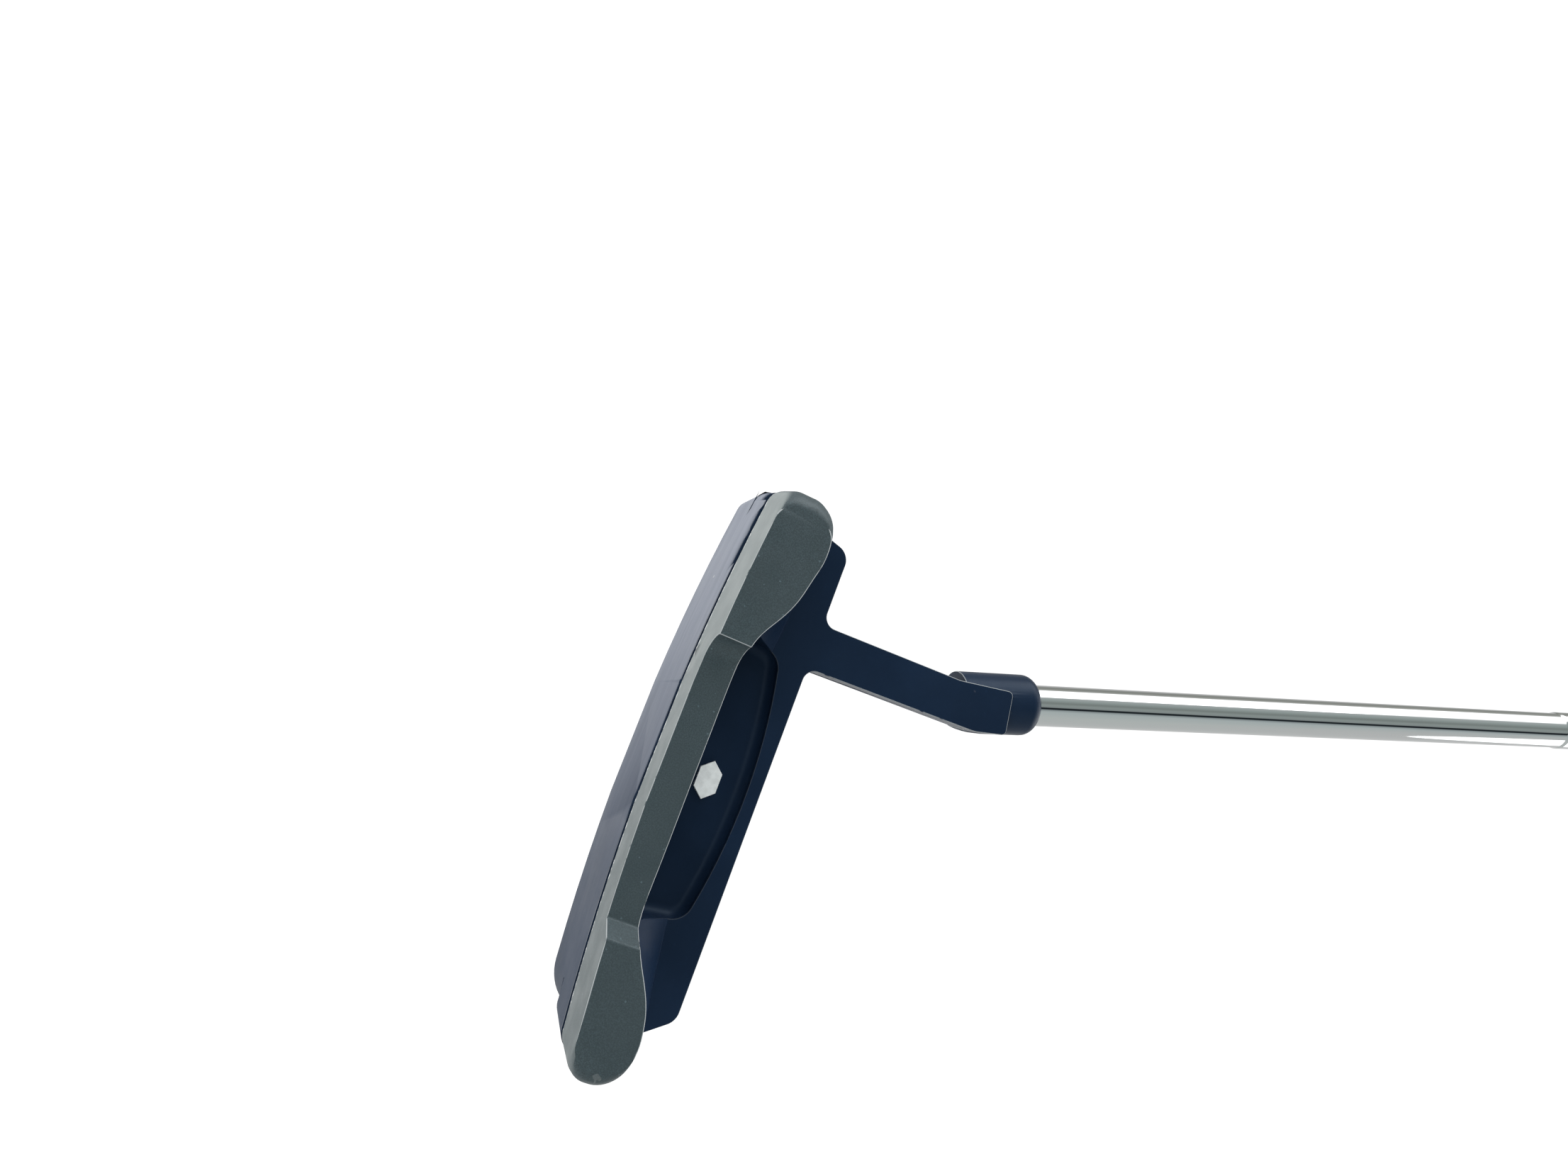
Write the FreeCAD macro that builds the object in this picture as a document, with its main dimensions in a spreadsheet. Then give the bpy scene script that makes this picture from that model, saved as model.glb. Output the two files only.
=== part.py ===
"""Mallet putter: a two-piece head, stepped steel shaft and moulded grip.

Frame: +X runs from heel to toe, +Y the way the face points, +Z up.
The origin is the centre of the flat rest patch under the sole.
"""
import FreeCAD, Part
import math
import os

import Sketcher
from FreeCAD import Placement, Rotation, Vector

SIZES = {
    # head outline
    "head_top": 26.5,
    "blade_heel_top": -51.4,
    "blade_heel_foot": -57.2,
    "blade_toe": 55.4,
    "toe_shoulder": 48.8,
    "toe_cut_end": 17.0,
    "face_front": 18.0,
    "blade_back": 5.7,
    "sole_radius": 450.0,
    "rest_half": 12.0,
    "corner_round": 3.4,
    "sole_corner": 4.2,
    "blade_heel_round": 3.5,
    "blade_toe_round": 10.0,
    # tail behind the blade: front body up to the seam, then the weight frame
    "seam_front": -4.2,
    "seam_rear": -5.4,
    "lobe_rear": -18.0,
    "lobe_round": 4.5,
    "lobe_blend": 14.0,
    "waist_rear": -13.6,
    "waist_heel": -21.3,
    "waist_toe": 32.4,
    "waist_draft": 2.9,
    "deck_top": 6.0,
    # scoop in the back of the blade
    "scoop_depth": 2.6,
    "scoop_heel": -27.2,
    "scoop_toe": 32.6,
    "scoop_round": 2.4,
    "scoop_corner": 2.8,
    # neck and hosel
    "neck_heel_foot": -35.1,
    "neck_toe_foot": -25.3,
    "neck_heel_bend": -36.3,
    "neck_heel_bend_height": 60.5,
    "neck_toe_bend": -27.1,
    "neck_toe_bend_height": 67.6,
    "neck_heel_tip": -38.7,
    "neck_toe_tip": -29.1,
    "neck_tip_height": 75.0,
    "neck_tip_round": 1.2,
    "neck_depth": 9.6,
    "neck_bend_round": 10.0,
    "neck_fillet": 2.6,
    "lie_angle": 71.0,
    "shaft_x": -39.02,
    "shaft_y": 13.0,
    "hosel_height": 82.65,
    "hosel_radius": 6.9,
    "hosel_length": 19.4,
    "hosel_round": 3.2,
    "hosel_bore": 4.95,
    "bore_depth": 20.0,
    # face insert
    "insert_heel": -43.0,
    "insert_toe": 46.0,
    "insert_low": 4.4,
    "insert_high": 22.4,
    "insert_depth": 3.4,
    "insert_gap": 0.15,
    "insert_round": 6.0,
    "tape_thick": 0.3,
    # fasteners between the two head pieces
    "screw_heel_x": -37.5,
    "screw_toe_x": 41.0,
    "screw_height": 7.6,
    "screw_radius": 2.0,
    "screw_head_radius": 3.5,
    "screw_head_height": 2.6,
    "screw_reach": 24.0,
    "screw_gap": 0.2,
    "pin_x": 15.0,
    "pin_height": 3.3,
    "pin_radius": 1.25,
    "pin_half": 5.0,
    "bond_inset": 1.0,
    # marks
    "mark_x": 3.2,
    "mark_height": 15.6,
    "mark_half_long": 4.0,
    "mark_half_tall": 2.4,
    "mark_proud": 0.7,
    "line_x": 3.0,
    "line_half": 0.8,
    "line_front": 4.4,
    "line_rear": -3.4,
    "line_deep": 0.5,
    # shaft
    "tip_radius": 4.7,
    "tip_wall": 0.9,
    "tip_length": 163.0,
    "step_count": 10,
    "step_rise": 0.28,
    "step_pitch": 36.0,
    "step_ramp": 1.2,
    "butt_height": 773.0,
    "plug_length": 12.0,
    "foot_gap": 0.4,
    "glue_drop": 0.6,
    # grip
    "grip_length": 267.0,
    "grip_gap": 0.4,
    "grip_tip_half_wide": 10.4,
    "grip_tip_half_deep": 11.8,
    "grip_butt_half_wide": 13.2,
    "grip_butt_half_deep": 14.6,
    "grip_flat": 2.4,
    "cap_radius": 12.6,
    "cap_thick": 3.2,
    "cap_round": 2.0,
    "cap_plug_length": 7.0,
    "cap_gap": 0.1,
    "vent_radius": 1.5,
}

LOBE_TOP = [
    (-52.6, 8.6),
    (-51.8, 11.6),
    (-49.4, 13.8),
    (-45.8, 14.4),
    (-42.2, 14.3),
    (-38.2, 13.6),
    (-32.5, 12.2),
    (-28.4, 10.3),
    (-25.0, 8.3),
    (-22.0, 7.1),
    (-17.5, 6.6),
    (-10.0, 6.5),
    (7.0, 6.5),
    (24.0, 6.5),
    (31.0, 6.7),
    (34.4, 7.4),
    (37.9, 9.1),
    (41.5, 11.2),
    (44.8, 12.7),
    (49.2, 13.6),
    (53.2, 13.8),
    (57.0, 12.8),
    (59.4, 10.6),
    (60.2, 7.8),
]
SEAM_TOP = [
    (-54.9, 9.6),
    (-53.8, 13.8),
    (-50.6, 16.2),
    (-46.4, 17.0),
    (-42.2, 16.9),
    (-38.2, 16.2),
    (-32.5, 14.4),
    (-28.4, 12.0),
    (-25.0, 9.6),
    (-22.0, 8.1),
    (-17.5, 7.4),
    (-10.0, 7.3),
    (7.0, 7.3),
    (24.0, 7.3),
    (31.0, 7.5),
    (34.4, 8.4),
    (37.9, 10.6),
    (41.5, 13.4),
    (44.8, 15.4),
    (49.2, 16.8),
    (52.6, 16.9),
    (55.6, 15.6),
    (57.4, 12.6),
    (57.9, 9.6),
]
SHOULDER_TOP = [
    (-56.4, 12.0),
    (-54.9, 16.4),
    (-50.4, 18.4),
    (-45.0, 18.9),
    (-37.0, 18.9),
    (-28.0, 18.3),
    (-17.0, 17.6),
    (7.0, 17.0),
    (31.0, 17.4),
    (38.4, 18.5),
    (44.0, 19.3),
    (49.0, 20.2),
    (52.6, 19.6),
    (54.6, 17.4),
    (55.4, 13.6),
]
SCOOP_RIM = [
    (-25.4, 20.0),
    (3.0, 23.6),
    (30.6, 20.6),
]

SCREWS = (("heel", "screw_heel_x"), ("toe", "screw_toe_x"))
GRIP_POINTS = 24
LOBE_TURNS = (0, 25, 50, 75)

doc = FreeCAD.newDocument("MalletPutter")
sheet = doc.addObject("Spreadsheet::Sheet", "Sizes")
for row, (alias, number) in enumerate(SIZES.items(), start=1):
    sheet.set(f"A{row}", alias)
    sheet.set(f"B{row}", str(number))
    sheet.setAlias(f"B{row}", alias)
doc.recompute()


def size(alias):
    """A driving dimension, read from the sheet."""
    return float(getattr(sheet, alias))


def cell(text):
    """A sheet formula: every alias in the text gets the sheet's name in front."""
    return " ".join(
        f"Sizes.{word}" if word in SIZES else word for word in text.split()
    )


def worked_out(text):
    """The value of a sheet formula."""
    return float(sheet.evalExpression(cell(text)))


def origin_plane(body, role):
    """One of a body's own base planes."""
    return next(plane for plane in body.Origin.OriginFeatures if plane.Role == role)


def new_body(label):
    """An empty part design body whose label names its file."""
    body = doc.addObject("PartDesign::Body", label)
    body.Label = label
    return body


def new_sketch(body, name, role, offset="0"):
    """A sketch on a base plane, moved along the plane's normal by a sheet formula."""
    sketch = body.newObject("Sketcher::SketchObject", name)
    sketch.AttachmentSupport = (origin_plane(body, role), [""])
    sketch.MapMode = "FlatFace"
    sketch.setExpression("AttachmentOffset.Base.z", cell(offset))
    return sketch


def pin_point(sketch, geometry, end, across, up):
    """Ties a point of the sketch to two sheet formulas."""
    for kind, text in (("DistanceX", across), ("DistanceY", up)):
        index = sketch.addConstraint(
            Sketcher.Constraint(kind, -1, 1, geometry, end, worked_out(text))
        )
        sketch.setExpression(f"Constraints[{index}]", cell(text))


def draw_polygon(sketch, corners):
    """A closed outline of straight edges through corners given as sheet formulas."""
    points = [Vector(worked_out(a), worked_out(b), 0) for a, b in corners]
    count = len(points)
    first = sketch.GeometryCount
    for i, point in enumerate(points):
        sketch.addGeometry(Part.LineSegment(point, points[(i + 1) % count]), False)
    for i in range(count):
        here = first + i
        following = first + (i + 1) % count
        sketch.addConstraint(Sketcher.Constraint("Coincident", here, 2, following, 1))
        pin_point(sketch, here, 1, *corners[i])


def draw_circle(sketch, across, up, radius):
    """A circle whose centre and radius are sheet formulas."""
    centre = Vector(worked_out(across), worked_out(up), 0)
    index = sketch.addGeometry(
        Part.Circle(centre, Vector(0, 0, 1), worked_out(radius)), False
    )
    pin_point(sketch, index, 3, across, up)
    rule = sketch.addConstraint(
        Sketcher.Constraint("Radius", index, worked_out(radius))
    )
    sketch.setExpression(f"Constraints[{rule}]", cell(radius))


def sole_height(across):
    """Height of the cambered sole at a distance from the middle."""
    radius = size("sole_radius")
    half = size("rest_half")
    if abs(across) <= half:
        return 0.0
    return math.sqrt(radius**2 - half**2) - math.sqrt(radius**2 - across**2)


def sole_edges(heel, toe, lift=0.0):
    """The sole's outline from toe to heel: an arc, the flat rest patch and an arc."""
    half = size("rest_half")

    def arc(start, end):
        middle = (start + end) / 2
        return Part.Arc(
            *(Vector(x, sole_height(x) + lift, 0) for x in (start, middle, end))
        )

    return [
        arc(toe, half),
        Part.LineSegment(Vector(half, lift, 0), Vector(-half, lift, 0)),
        arc(-half, heel),
    ]


def fix_outline(sketch, edges):
    """Puts finished edges in a sketch and holds them where they are."""
    for edge in edges:
        index = sketch.addGeometry(edge, False)
        sketch.addConstraint(Sketcher.Constraint("Block", index))


def upright(across, low, high):
    """A straight edge up or down at one place along the head."""
    return Part.LineSegment(Vector(across, low, 0), Vector(across, high, 0))


def curve_through(points):
    """One smooth curve through (x, z) points."""
    curve = Part.BSplineCurve()
    curve.interpolate([Vector(x, z, 0) for x, z in points])
    return curve


def draw_section(sketch, top_points, inset=0.0):
    """A head section, or one drawn in by an inset: a curved top, upright ends, round lower
    corners and the cambered sole."""
    radius = size("sole_corner") - inset
    points = [[x, z - inset] for x, z in top_points]
    points[0][0] += inset
    points[-1][0] -= inset
    (heel, heel_high), (toe, toe_high) = points[0], points[-1]

    def corner(end, outward):
        """The end's side point, the middle of the round and the point on the sole."""
        foot = end - outward * radius
        low = sole_height(foot) + inset
        reach = radius / math.sqrt(2)
        return (
            Vector(end, low + radius, 0),
            Vector(foot + outward * reach, low + radius - reach, 0),
            Vector(foot, low, 0),
        )

    toe_side, toe_middle, toe_foot = corner(toe, 1)
    heel_side, heel_middle, heel_foot = corner(heel, -1)
    edges = [
        curve_through(points),
        upright(toe, toe_high, toe_side.y),
        Part.Arc(toe_side, toe_middle, toe_foot),
        *sole_edges(heel_foot.x, toe_foot.x, inset),
        Part.Arc(heel_foot, heel_middle, heel_side),
        upright(heel, heel_side.y, heel_high),
    ]
    fix_outline(sketch, edges)


def pad(body, sketch, length, reverse=False):
    """Adds material from a sketch."""
    feature = body.newObject("PartDesign::Pad", sketch.Name + "_pad")
    feature.Profile = sketch
    feature.setExpression("Length", cell(length))
    feature.Reversed = reverse
    doc.recompute()
    return feature


def pocket(body, sketch, length):
    """Takes material away along the sketch's normal, and stops if nothing was cut."""
    before = body.Shape.Volume
    feature = body.newObject("PartDesign::Pocket", sketch.Name + "_pocket")
    feature.Profile = sketch
    feature.setExpression("Length", cell(length))
    feature.Reversed = True
    doc.recompute()
    if body.Shape.Volume > before - 0.01:
        raise RuntimeError(f"{feature.Name} cut nothing")
    return feature


def round_edges(body, name, radius, wanted):
    """Rounds every edge of the body that the test picks."""
    base = body.Tip
    picked = [
        f"Edge{i}" for i, edge in enumerate(base.Shape.Edges, start=1) if wanted(edge)
    ]
    if not picked:
        raise RuntimeError(f"{name} found no edge")
    feature = body.newObject("PartDesign::Fillet", name)
    feature.Base = (base, picked)
    feature.setExpression("Radius", cell(radius))
    doc.recompute()
    if "Invalid" in feature.State or feature.Shape.isNull():
        raise RuntimeError(f"{name} could not be rounded")
    return feature


def spans_y_at(edge, across, up, near=0.3):
    """True for an edge that runs along Y through a place in the XZ plane."""
    box = edge.BoundBox
    flat = box.XLength < near and box.ZLength < near and box.YLength > 1
    return flat and math.hypot(box.Center.x - across, box.Center.z - up) < near


def add_tail(body, name, front_at, front_top, rear_at, rear_top):
    """A wedge of the tail: a loft between two sections square to Y."""
    front = new_sketch(body, name + "_front", "XZ_Plane", "0 - " + front_at)
    rear = new_sketch(body, name + "_rear", "XZ_Plane", "0 - " + rear_at)
    draw_section(front, front_top)
    draw_section(rear, rear_top)
    doc.recompute()
    loft = body.newObject("PartDesign::AdditiveLoft", name + "_loft")
    loft.Profile = front
    loft.Sections = [rear]
    loft.Ruled = True
    doc.recompute()
    return loft


def box_cut(body, name, corners, role, offset, length):
    """Cuts a straight-sided opening."""
    sketch = new_sketch(body, name, role, offset)
    draw_polygon(sketch, corners)
    return pocket(body, sketch, length)


def add_blade(body):
    """The blade: its outline, from the face back to the tail."""
    blade = new_sketch(body, "blade", "XZ_Plane", "0 - face_front")
    toe, top = size("blade_toe"), size("head_top")
    heel_top = Vector(size("blade_heel_top"), top, 0)
    heel = size("blade_heel_foot")
    shoulder = Vector(size("toe_shoulder"), top, 0)
    cut_end = Vector(toe, size("toe_cut_end"), 0)
    outline = [
        Part.LineSegment(heel_top, shoulder),
        Part.LineSegment(shoulder, cut_end),
        upright(toe, cut_end.y, sole_height(toe)),
        *sole_edges(heel, toe),
        Part.LineSegment(Vector(heel, sole_height(heel), 0), heel_top),
    ]
    fix_outline(blade, outline)
    pad(body, blade, "face_front - blade_back")


def eased_corner(before, corner, after):
    """A round that cuts a corner off between a point before it and a point after it."""
    halfway = (before + after) / 2
    return Part.Arc(before, halfway + (corner - halfway) * 0.41, after)


def cut_scoop(body):
    """The scoop: a low arch with round corners cut into the blade's back, down to the deck."""
    sketch = new_sketch(body, "scoop", "XZ_Plane", "0 - ( blade_back + scoop_depth )")
    heel, toe, deck = size("scoop_heel"), size("scoop_toe"), size("deck_top")
    first, middle, last = (Vector(x, z, 0) for x, z in SCOOP_RIM)
    rim = Part.Arc(first, middle, last).toShape()
    reach = size("scoop_corner")
    turn = reach / rim.Curve.Radius
    near_ends = [rim.valueAt(rim.FirstParameter + turn), rim.valueAt(rim.LastParameter - turn)]
    rim_heel, rim_toe = sorted(near_ends, key=lambda point: point.x)
    heel_foot, toe_foot = Vector(heel, deck, 0), Vector(toe, deck, 0)
    heel_wall = first + (heel_foot - first).normalize() * reach
    toe_wall = last + (toe_foot - last).normalize() * reach
    outline = [
        Part.Arc(rim_heel, middle, rim_toe),
        eased_corner(rim_toe, last, toe_wall),
        Part.LineSegment(toe_wall, toe_foot),
        Part.LineSegment(toe_foot, heel_foot),
        Part.LineSegment(heel_foot, heel_wall),
        eased_corner(heel_wall, first, rim_heel),
    ]
    fix_outline(sketch, outline)
    pocket(body, sketch, "blade_back + scoop_depth - seam_rear + 1")


def add_neck(body):
    """The flat bar that rises from the blade and leans over towards the shaft."""
    sketch = new_sketch(body, "neck", "XZ_Plane", "0 - ( blade_back + neck_depth )")
    draw_polygon(
        sketch,
        [
            ("neck_heel_foot", "head_top - 2"),
            ("neck_toe_foot", "head_top - 2"),
            ("neck_toe_bend", "neck_toe_bend_height"),
            ("neck_toe_tip", "neck_tip_height"),
            ("neck_heel_tip", "neck_tip_height - 1.4"),
            ("neck_heel_bend", "neck_heel_bend_height"),
        ],
    )
    pad(body, sketch, "neck_depth")


def along_shaft(body, kind, name, radius, drop, length):
    """A cylinder on the shaft's axis; drop is its foot's depth below the hosel's mouth."""
    feature = body.newObject(kind, name)
    feature.AttachmentSupport = (origin_plane(body, "XY_Plane"), [""])
    feature.MapMode = "FlatFace"
    tilt = size("lie_angle") - 90
    feature.AttachmentOffset = Placement(Vector(), Rotation(Vector(0, 1, 0), tilt))
    places = {
        "x": f"shaft_x + {drop} * cos( lie_angle * 1deg )",
        "y": "shaft_y",
        "z": f"hosel_height - {drop} * sin( lie_angle * 1deg )",
    }
    for axis, place in places.items():
        feature.setExpression(f"AttachmentOffset.Base.{axis}", cell(place))
    feature.setExpression("Radius", cell(radius))
    feature.setExpression("Height", cell(length))
    doc.recompute()
    return feature


def back_along_y(body, kind, name, across, up, start, radius, length):
    """A cylinder that runs from start towards -Y."""
    feature = body.newObject(kind, name)
    feature.AttachmentSupport = (origin_plane(body, "XZ_Plane"), [""])
    feature.MapMode = "FlatFace"
    feature.setExpression("AttachmentOffset.Base.x", cell(across))
    feature.setExpression("AttachmentOffset.Base.y", cell(up))
    feature.setExpression("AttachmentOffset.Base.z", cell(f"0 - ( {start} )"))
    feature.setExpression("Radius", cell(radius))
    feature.setExpression("Height", cell(length))
    doc.recompute()
    return feature


def draw_insert(sketch, gap):
    """The insert's outline, drawn in by a gap all round."""
    draw_polygon(
        sketch,
        [
            (f"insert_heel + {gap}", f"insert_low + {gap}"),
            (f"insert_toe - {gap}", f"insert_low + {gap}"),
            (f"insert_toe - {gap}", f"insert_high - {gap}"),
            (f"insert_heel + {gap}", f"insert_high - {gap}"),
        ],
    )


def cut_insert_seat(body):
    """The shallow seat in the face, with round corners."""
    sketch = new_sketch(body, "insert_seat", "XZ_Plane", "0 - face_front")
    draw_insert(sketch, "0")
    pocket(body, sketch, "insert_depth")
    corners = [
        (size(across), size(up))
        for across in ("insert_heel", "insert_toe")
        for up in ("insert_low", "insert_high")
    ]
    round_edges(
        body,
        "seat_corners",
        "insert_round",
        lambda edge: any(spans_y_at(edge, *corner) for corner in corners),
    )


def cut_line_groove(body):
    """The groove for the sight line, along the deck."""
    box_cut(
        body,
        "line_groove",
        [
            ("line_x - line_half", "line_rear"),
            ("line_x + line_half", "line_rear"),
            ("line_x + line_half", "line_front"),
            ("line_x - line_half", "line_front"),
        ],
        "XY_Plane",
        "deck_top - line_deep",
        "line_deep + 2",
    )


def add_pin_holes(body):
    """The two dowel holes across the seam."""
    for side, sign in (("heel", "0 - "), ("toe", "")):
        back_along_y(
            body,
            "PartDesign::SubtractiveCylinder",
            f"{side}_pin_hole",
            f"{sign}pin_x",
            "pin_height",
            "( seam_front + seam_rear ) / 2 + pin_half",
            "pin_radius + 0.05",
            "pin_half * 2",
        )


def make_front_body():
    """Face, sole, neck and hosel in one casting."""
    body = new_body("front_body")
    add_blade(body)
    top = size("head_top")
    round_edges(
        body,
        "blade_corners",
        "corner_round",
        lambda edge: spans_y_at(edge, size("blade_heel_top"), top)
        or spans_y_at(edge, size("toe_shoulder"), top)
        or spans_y_at(edge, size("blade_toe"), size("toe_cut_end")),
    )
    for side, end in (("heel", size("blade_heel_foot")), ("toe", size("blade_toe"))):
        round_edges(
            body,
            f"blade_{side}_low",
            f"blade_{side}_round",
            lambda edge, end=end: spans_y_at(edge, end, sole_height(end)),
        )
    add_tail(body, "shoulders", "blade_back", SHOULDER_TOP, "seam_front", SEAM_TOP)
    cut_scoop(body)
    floor = size("blade_back") + size("scoop_depth")
    round_edges(
        body,
        "scoop_hollow",
        "scoop_round",
        lambda edge: edge.Curve.TypeId == "Part::GeomCircle"
        and edge.Length > 20
        and edge.BoundBox.YLength < 0.01
        and abs(edge.BoundBox.YMin - floor) < 0.01,
    )
    add_neck(body)
    round_edges(
        body,
        "neck_bends",
        "neck_bend_round",
        lambda edge: spans_y_at(edge, size("neck_toe_bend"), size("neck_toe_bend_height"))
        or spans_y_at(edge, size("neck_heel_bend"), size("neck_heel_bend_height")),
    )
    tip = size("neck_tip_height")
    round_edges(
        body,
        "neck_tip",
        "neck_tip_round",
        lambda edge: spans_y_at(edge, size("neck_toe_tip"), tip)
        or spans_y_at(edge, size("neck_heel_tip"), tip - 1.4),
    )
    round_edges(
        body,
        "neck_foot",
        "neck_fillet",
        lambda edge: abs(edge.BoundBox.ZMin - top) < 0.01
        and edge.BoundBox.ZLength < 0.01
        and edge.BoundBox.XMin > size("neck_heel_foot") - 0.5
        and edge.BoundBox.XMax < size("neck_toe_foot") + 0.5
        and edge.BoundBox.YMax < size("face_front") - 0.5
        and edge.BoundBox.Center.y > size("blade_back") + 0.5,
    )
    along_shaft(
        body,
        "PartDesign::AdditiveCylinder",
        "hosel",
        "hosel_radius",
        "hosel_length",
        "hosel_length",
    )
    box_cut(
        body,
        "hosel_toe_side",
        [
            ("neck_toe_bend + 0.5", "neck_heel_bend_height - 4"),
            ("neck_toe_bend + 6", "neck_heel_bend_height - 4"),
            ("neck_toe_bend + 6", "neck_tip_height - 1"),
            ("neck_toe_tip + 0.5", "neck_tip_height - 1"),
            ("neck_toe_bend", "neck_toe_bend_height"),
        ],
        "XZ_Plane",
        "0 - ( shaft_y + hosel_radius + 1 )",
        "hosel_radius * 2 + 2",
    )
    mouth = size("hosel_height") - 3
    round_edges(
        body,
        "hosel_mouth",
        "hosel_round",
        lambda edge: edge.BoundBox.ZMin > mouth and edge.BoundBox.YLength > 12,
    )
    along_shaft(
        body,
        "PartDesign::SubtractiveCylinder",
        "hosel_hole",
        "hosel_bore",
        "bore_depth",
        "bore_depth + 1",
    )
    cut_insert_seat(body)
    cut_line_groove(body)
    for name, across in SCREWS:
        back_along_y(
            body,
            "PartDesign::SubtractiveCylinder",
            f"{name}_screw_head",
            across,
            "screw_height",
            "face_front",
            "screw_head_radius + screw_gap",
            "insert_depth + screw_head_height",
        )
        back_along_y(
            body,
            "PartDesign::SubtractiveCylinder",
            f"{name}_screw_hole",
            across,
            "screw_height",
            "face_front",
            "screw_radius + screw_gap",
            "face_front - seam_rear",
        )
    add_pin_holes(body)
    return body


def lobe_section(share, pull):
    """The frame's top outline part of the way from the seam to the rear, with its ends
    pulled in."""
    points = []
    for (x0, z0), (x1, z1) in zip(SEAM_TOP, LOBE_TOP):
        points.append((x0 + (x1 - x0) * share, z0 + (z1 - z0) * share))
    heel, toe, reach = points[0][0], points[-1][0], size("lobe_blend")

    def drawn_in(x):
        near_heel = max(0.0, 1 - (x - heel) / reach)
        near_toe = max(0.0, 1 - (toe - x) / reach)
        return x + pull * (near_heel - near_toe)

    return [(drawn_in(x), z) for x, z in points]


def add_lobes(body):
    """The frame's block: a loft from the seam back, with round outer corners in plan."""
    front = new_sketch(body, "lobes_seam", "XZ_Plane", "0 - seam_rear")
    draw_section(front, SEAM_TOP)
    radius, rear = size("lobe_round"), size("lobe_rear")
    last_sine = math.sin(math.radians(LOBE_TURNS[-1]))
    sections = []
    for turn in LOBE_TURNS:
        reach = 1 - math.sin(math.radians(turn)) / last_sine
        place = f"0 - ( lobe_rear + lobe_round * {reach:.4f} )"
        sketch = new_sketch(body, f"lobes_{turn}", "XZ_Plane", place)
        share = 1 - radius * reach / (size("seam_rear") - rear)
        draw_section(sketch, lobe_section(share, radius * (1 - math.cos(math.radians(turn)))))
        sections.append(sketch)
    doc.recompute()
    loft = body.newObject("PartDesign::AdditiveLoft", "lobes_loft")
    loft.Profile = front
    loft.Sections = sections
    loft.Ruled = True
    doc.recompute()


def cut_waist(body):
    """Sets the middle of the frame's rear forward, with a cove at the heel and a ramp at
    the toe."""
    sketch = new_sketch(body, "waist", "XY_Plane", "0 - 1")
    heel, rear, wall = size("waist_heel"), size("lobe_rear"), size("waist_rear")
    cove = wall - rear
    ramp_foot = size("waist_toe")
    ramp_top = ramp_foot + size("waist_draft")
    halfway = cove / math.sqrt(2)
    corners = [
        Vector(heel + cove, wall, 0),
        Vector(ramp_foot, wall, 0),
        Vector(ramp_top, rear, 0),
        Vector(ramp_top, rear - 1, 0),
        Vector(heel, rear - 1, 0),
        Vector(heel, rear, 0),
    ]
    outline = [Part.LineSegment(start, end) for start, end in zip(corners, corners[1:])]
    middle = Vector(heel + cove - halfway, rear + halfway, 0)
    outline.append(Part.Arc(corners[-1], middle, corners[0]))
    fix_outline(sketch, outline)
    pocket(body, sketch, "head_top")


def make_rear_frame():
    """The weight frame: the tail behind the seam, with its waist set forward."""
    body = new_body("rear_frame")
    add_lobes(body)
    cut_waist(body)
    for name, across in SCREWS:
        back_along_y(
            body,
            "PartDesign::SubtractiveCylinder",
            f"{name}_screw_hole",
            across,
            "screw_height",
            "seam_front",
            "screw_radius",
            "screw_reach - ( face_front - insert_depth - screw_head_height - seam_front ) + 1",
        )
    add_pin_holes(body)
    return body


def make_seam_bond():
    """The bonded strip that fills the seam, a little below the outer surface."""
    body = new_body("seam_bond")
    sketch = new_sketch(body, "strip", "XZ_Plane", "0 - seam_front")
    draw_section(sketch, SEAM_TOP, size("bond_inset"))
    pad(body, sketch, "seam_front - seam_rear")
    for name, across in SCREWS:
        back_along_y(
            body,
            "PartDesign::SubtractiveCylinder",
            f"{name}_screw_way",
            across,
            "screw_height",
            "seam_front + 1",
            "screw_radius + screw_gap",
            "seam_front - seam_rear + 2",
        )
    add_pin_holes(body)
    return body


def make_insert(label, front, depth):
    """The face insert, or the tape behind it."""
    body = new_body(label)
    sketch = new_sketch(body, label + "_outline", "XZ_Plane", f"0 - ( {front} )")
    draw_insert(sketch, "insert_gap")
    pad(body, sketch, depth)
    round_edges(
        body,
        label + "_corners",
        "insert_round - insert_gap",
        lambda edge: edge.BoundBox.XLength < 0.01 and edge.BoundBox.ZLength < 0.01,
    )
    return body


def make_rear_mark():
    """A plain raised lozenge on the scoop's floor."""
    body = new_body("rear_mark")
    sketch = new_sketch(body, "lozenge", "XZ_Plane", "0 - ( blade_back + scoop_depth )")
    draw_polygon(
        sketch,
        [
            ("mark_x - mark_half_long", "mark_height"),
            ("mark_x - mark_half_long / 2", "mark_height - mark_half_tall"),
            ("mark_x + mark_half_long / 2", "mark_height - mark_half_tall"),
            ("mark_x + mark_half_long", "mark_height"),
            ("mark_x + mark_half_long / 2", "mark_height + mark_half_tall"),
            ("mark_x - mark_half_long / 2", "mark_height + mark_half_tall"),
        ],
    )
    pad(body, sketch, "mark_proud")
    return body


def make_sight_line():
    """The white filling of the groove in the deck."""
    body = new_body("sight_line")
    sketch = new_sketch(body, "line", "XY_Plane", "deck_top - line_deep")
    draw_polygon(
        sketch,
        [
            ("line_x - line_half", "line_rear"),
            ("line_x + line_half", "line_rear"),
            ("line_x + line_half", "line_front"),
            ("line_x - line_half", "line_front"),
        ],
    )
    pad(body, sketch, "line_deep")
    return body


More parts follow.
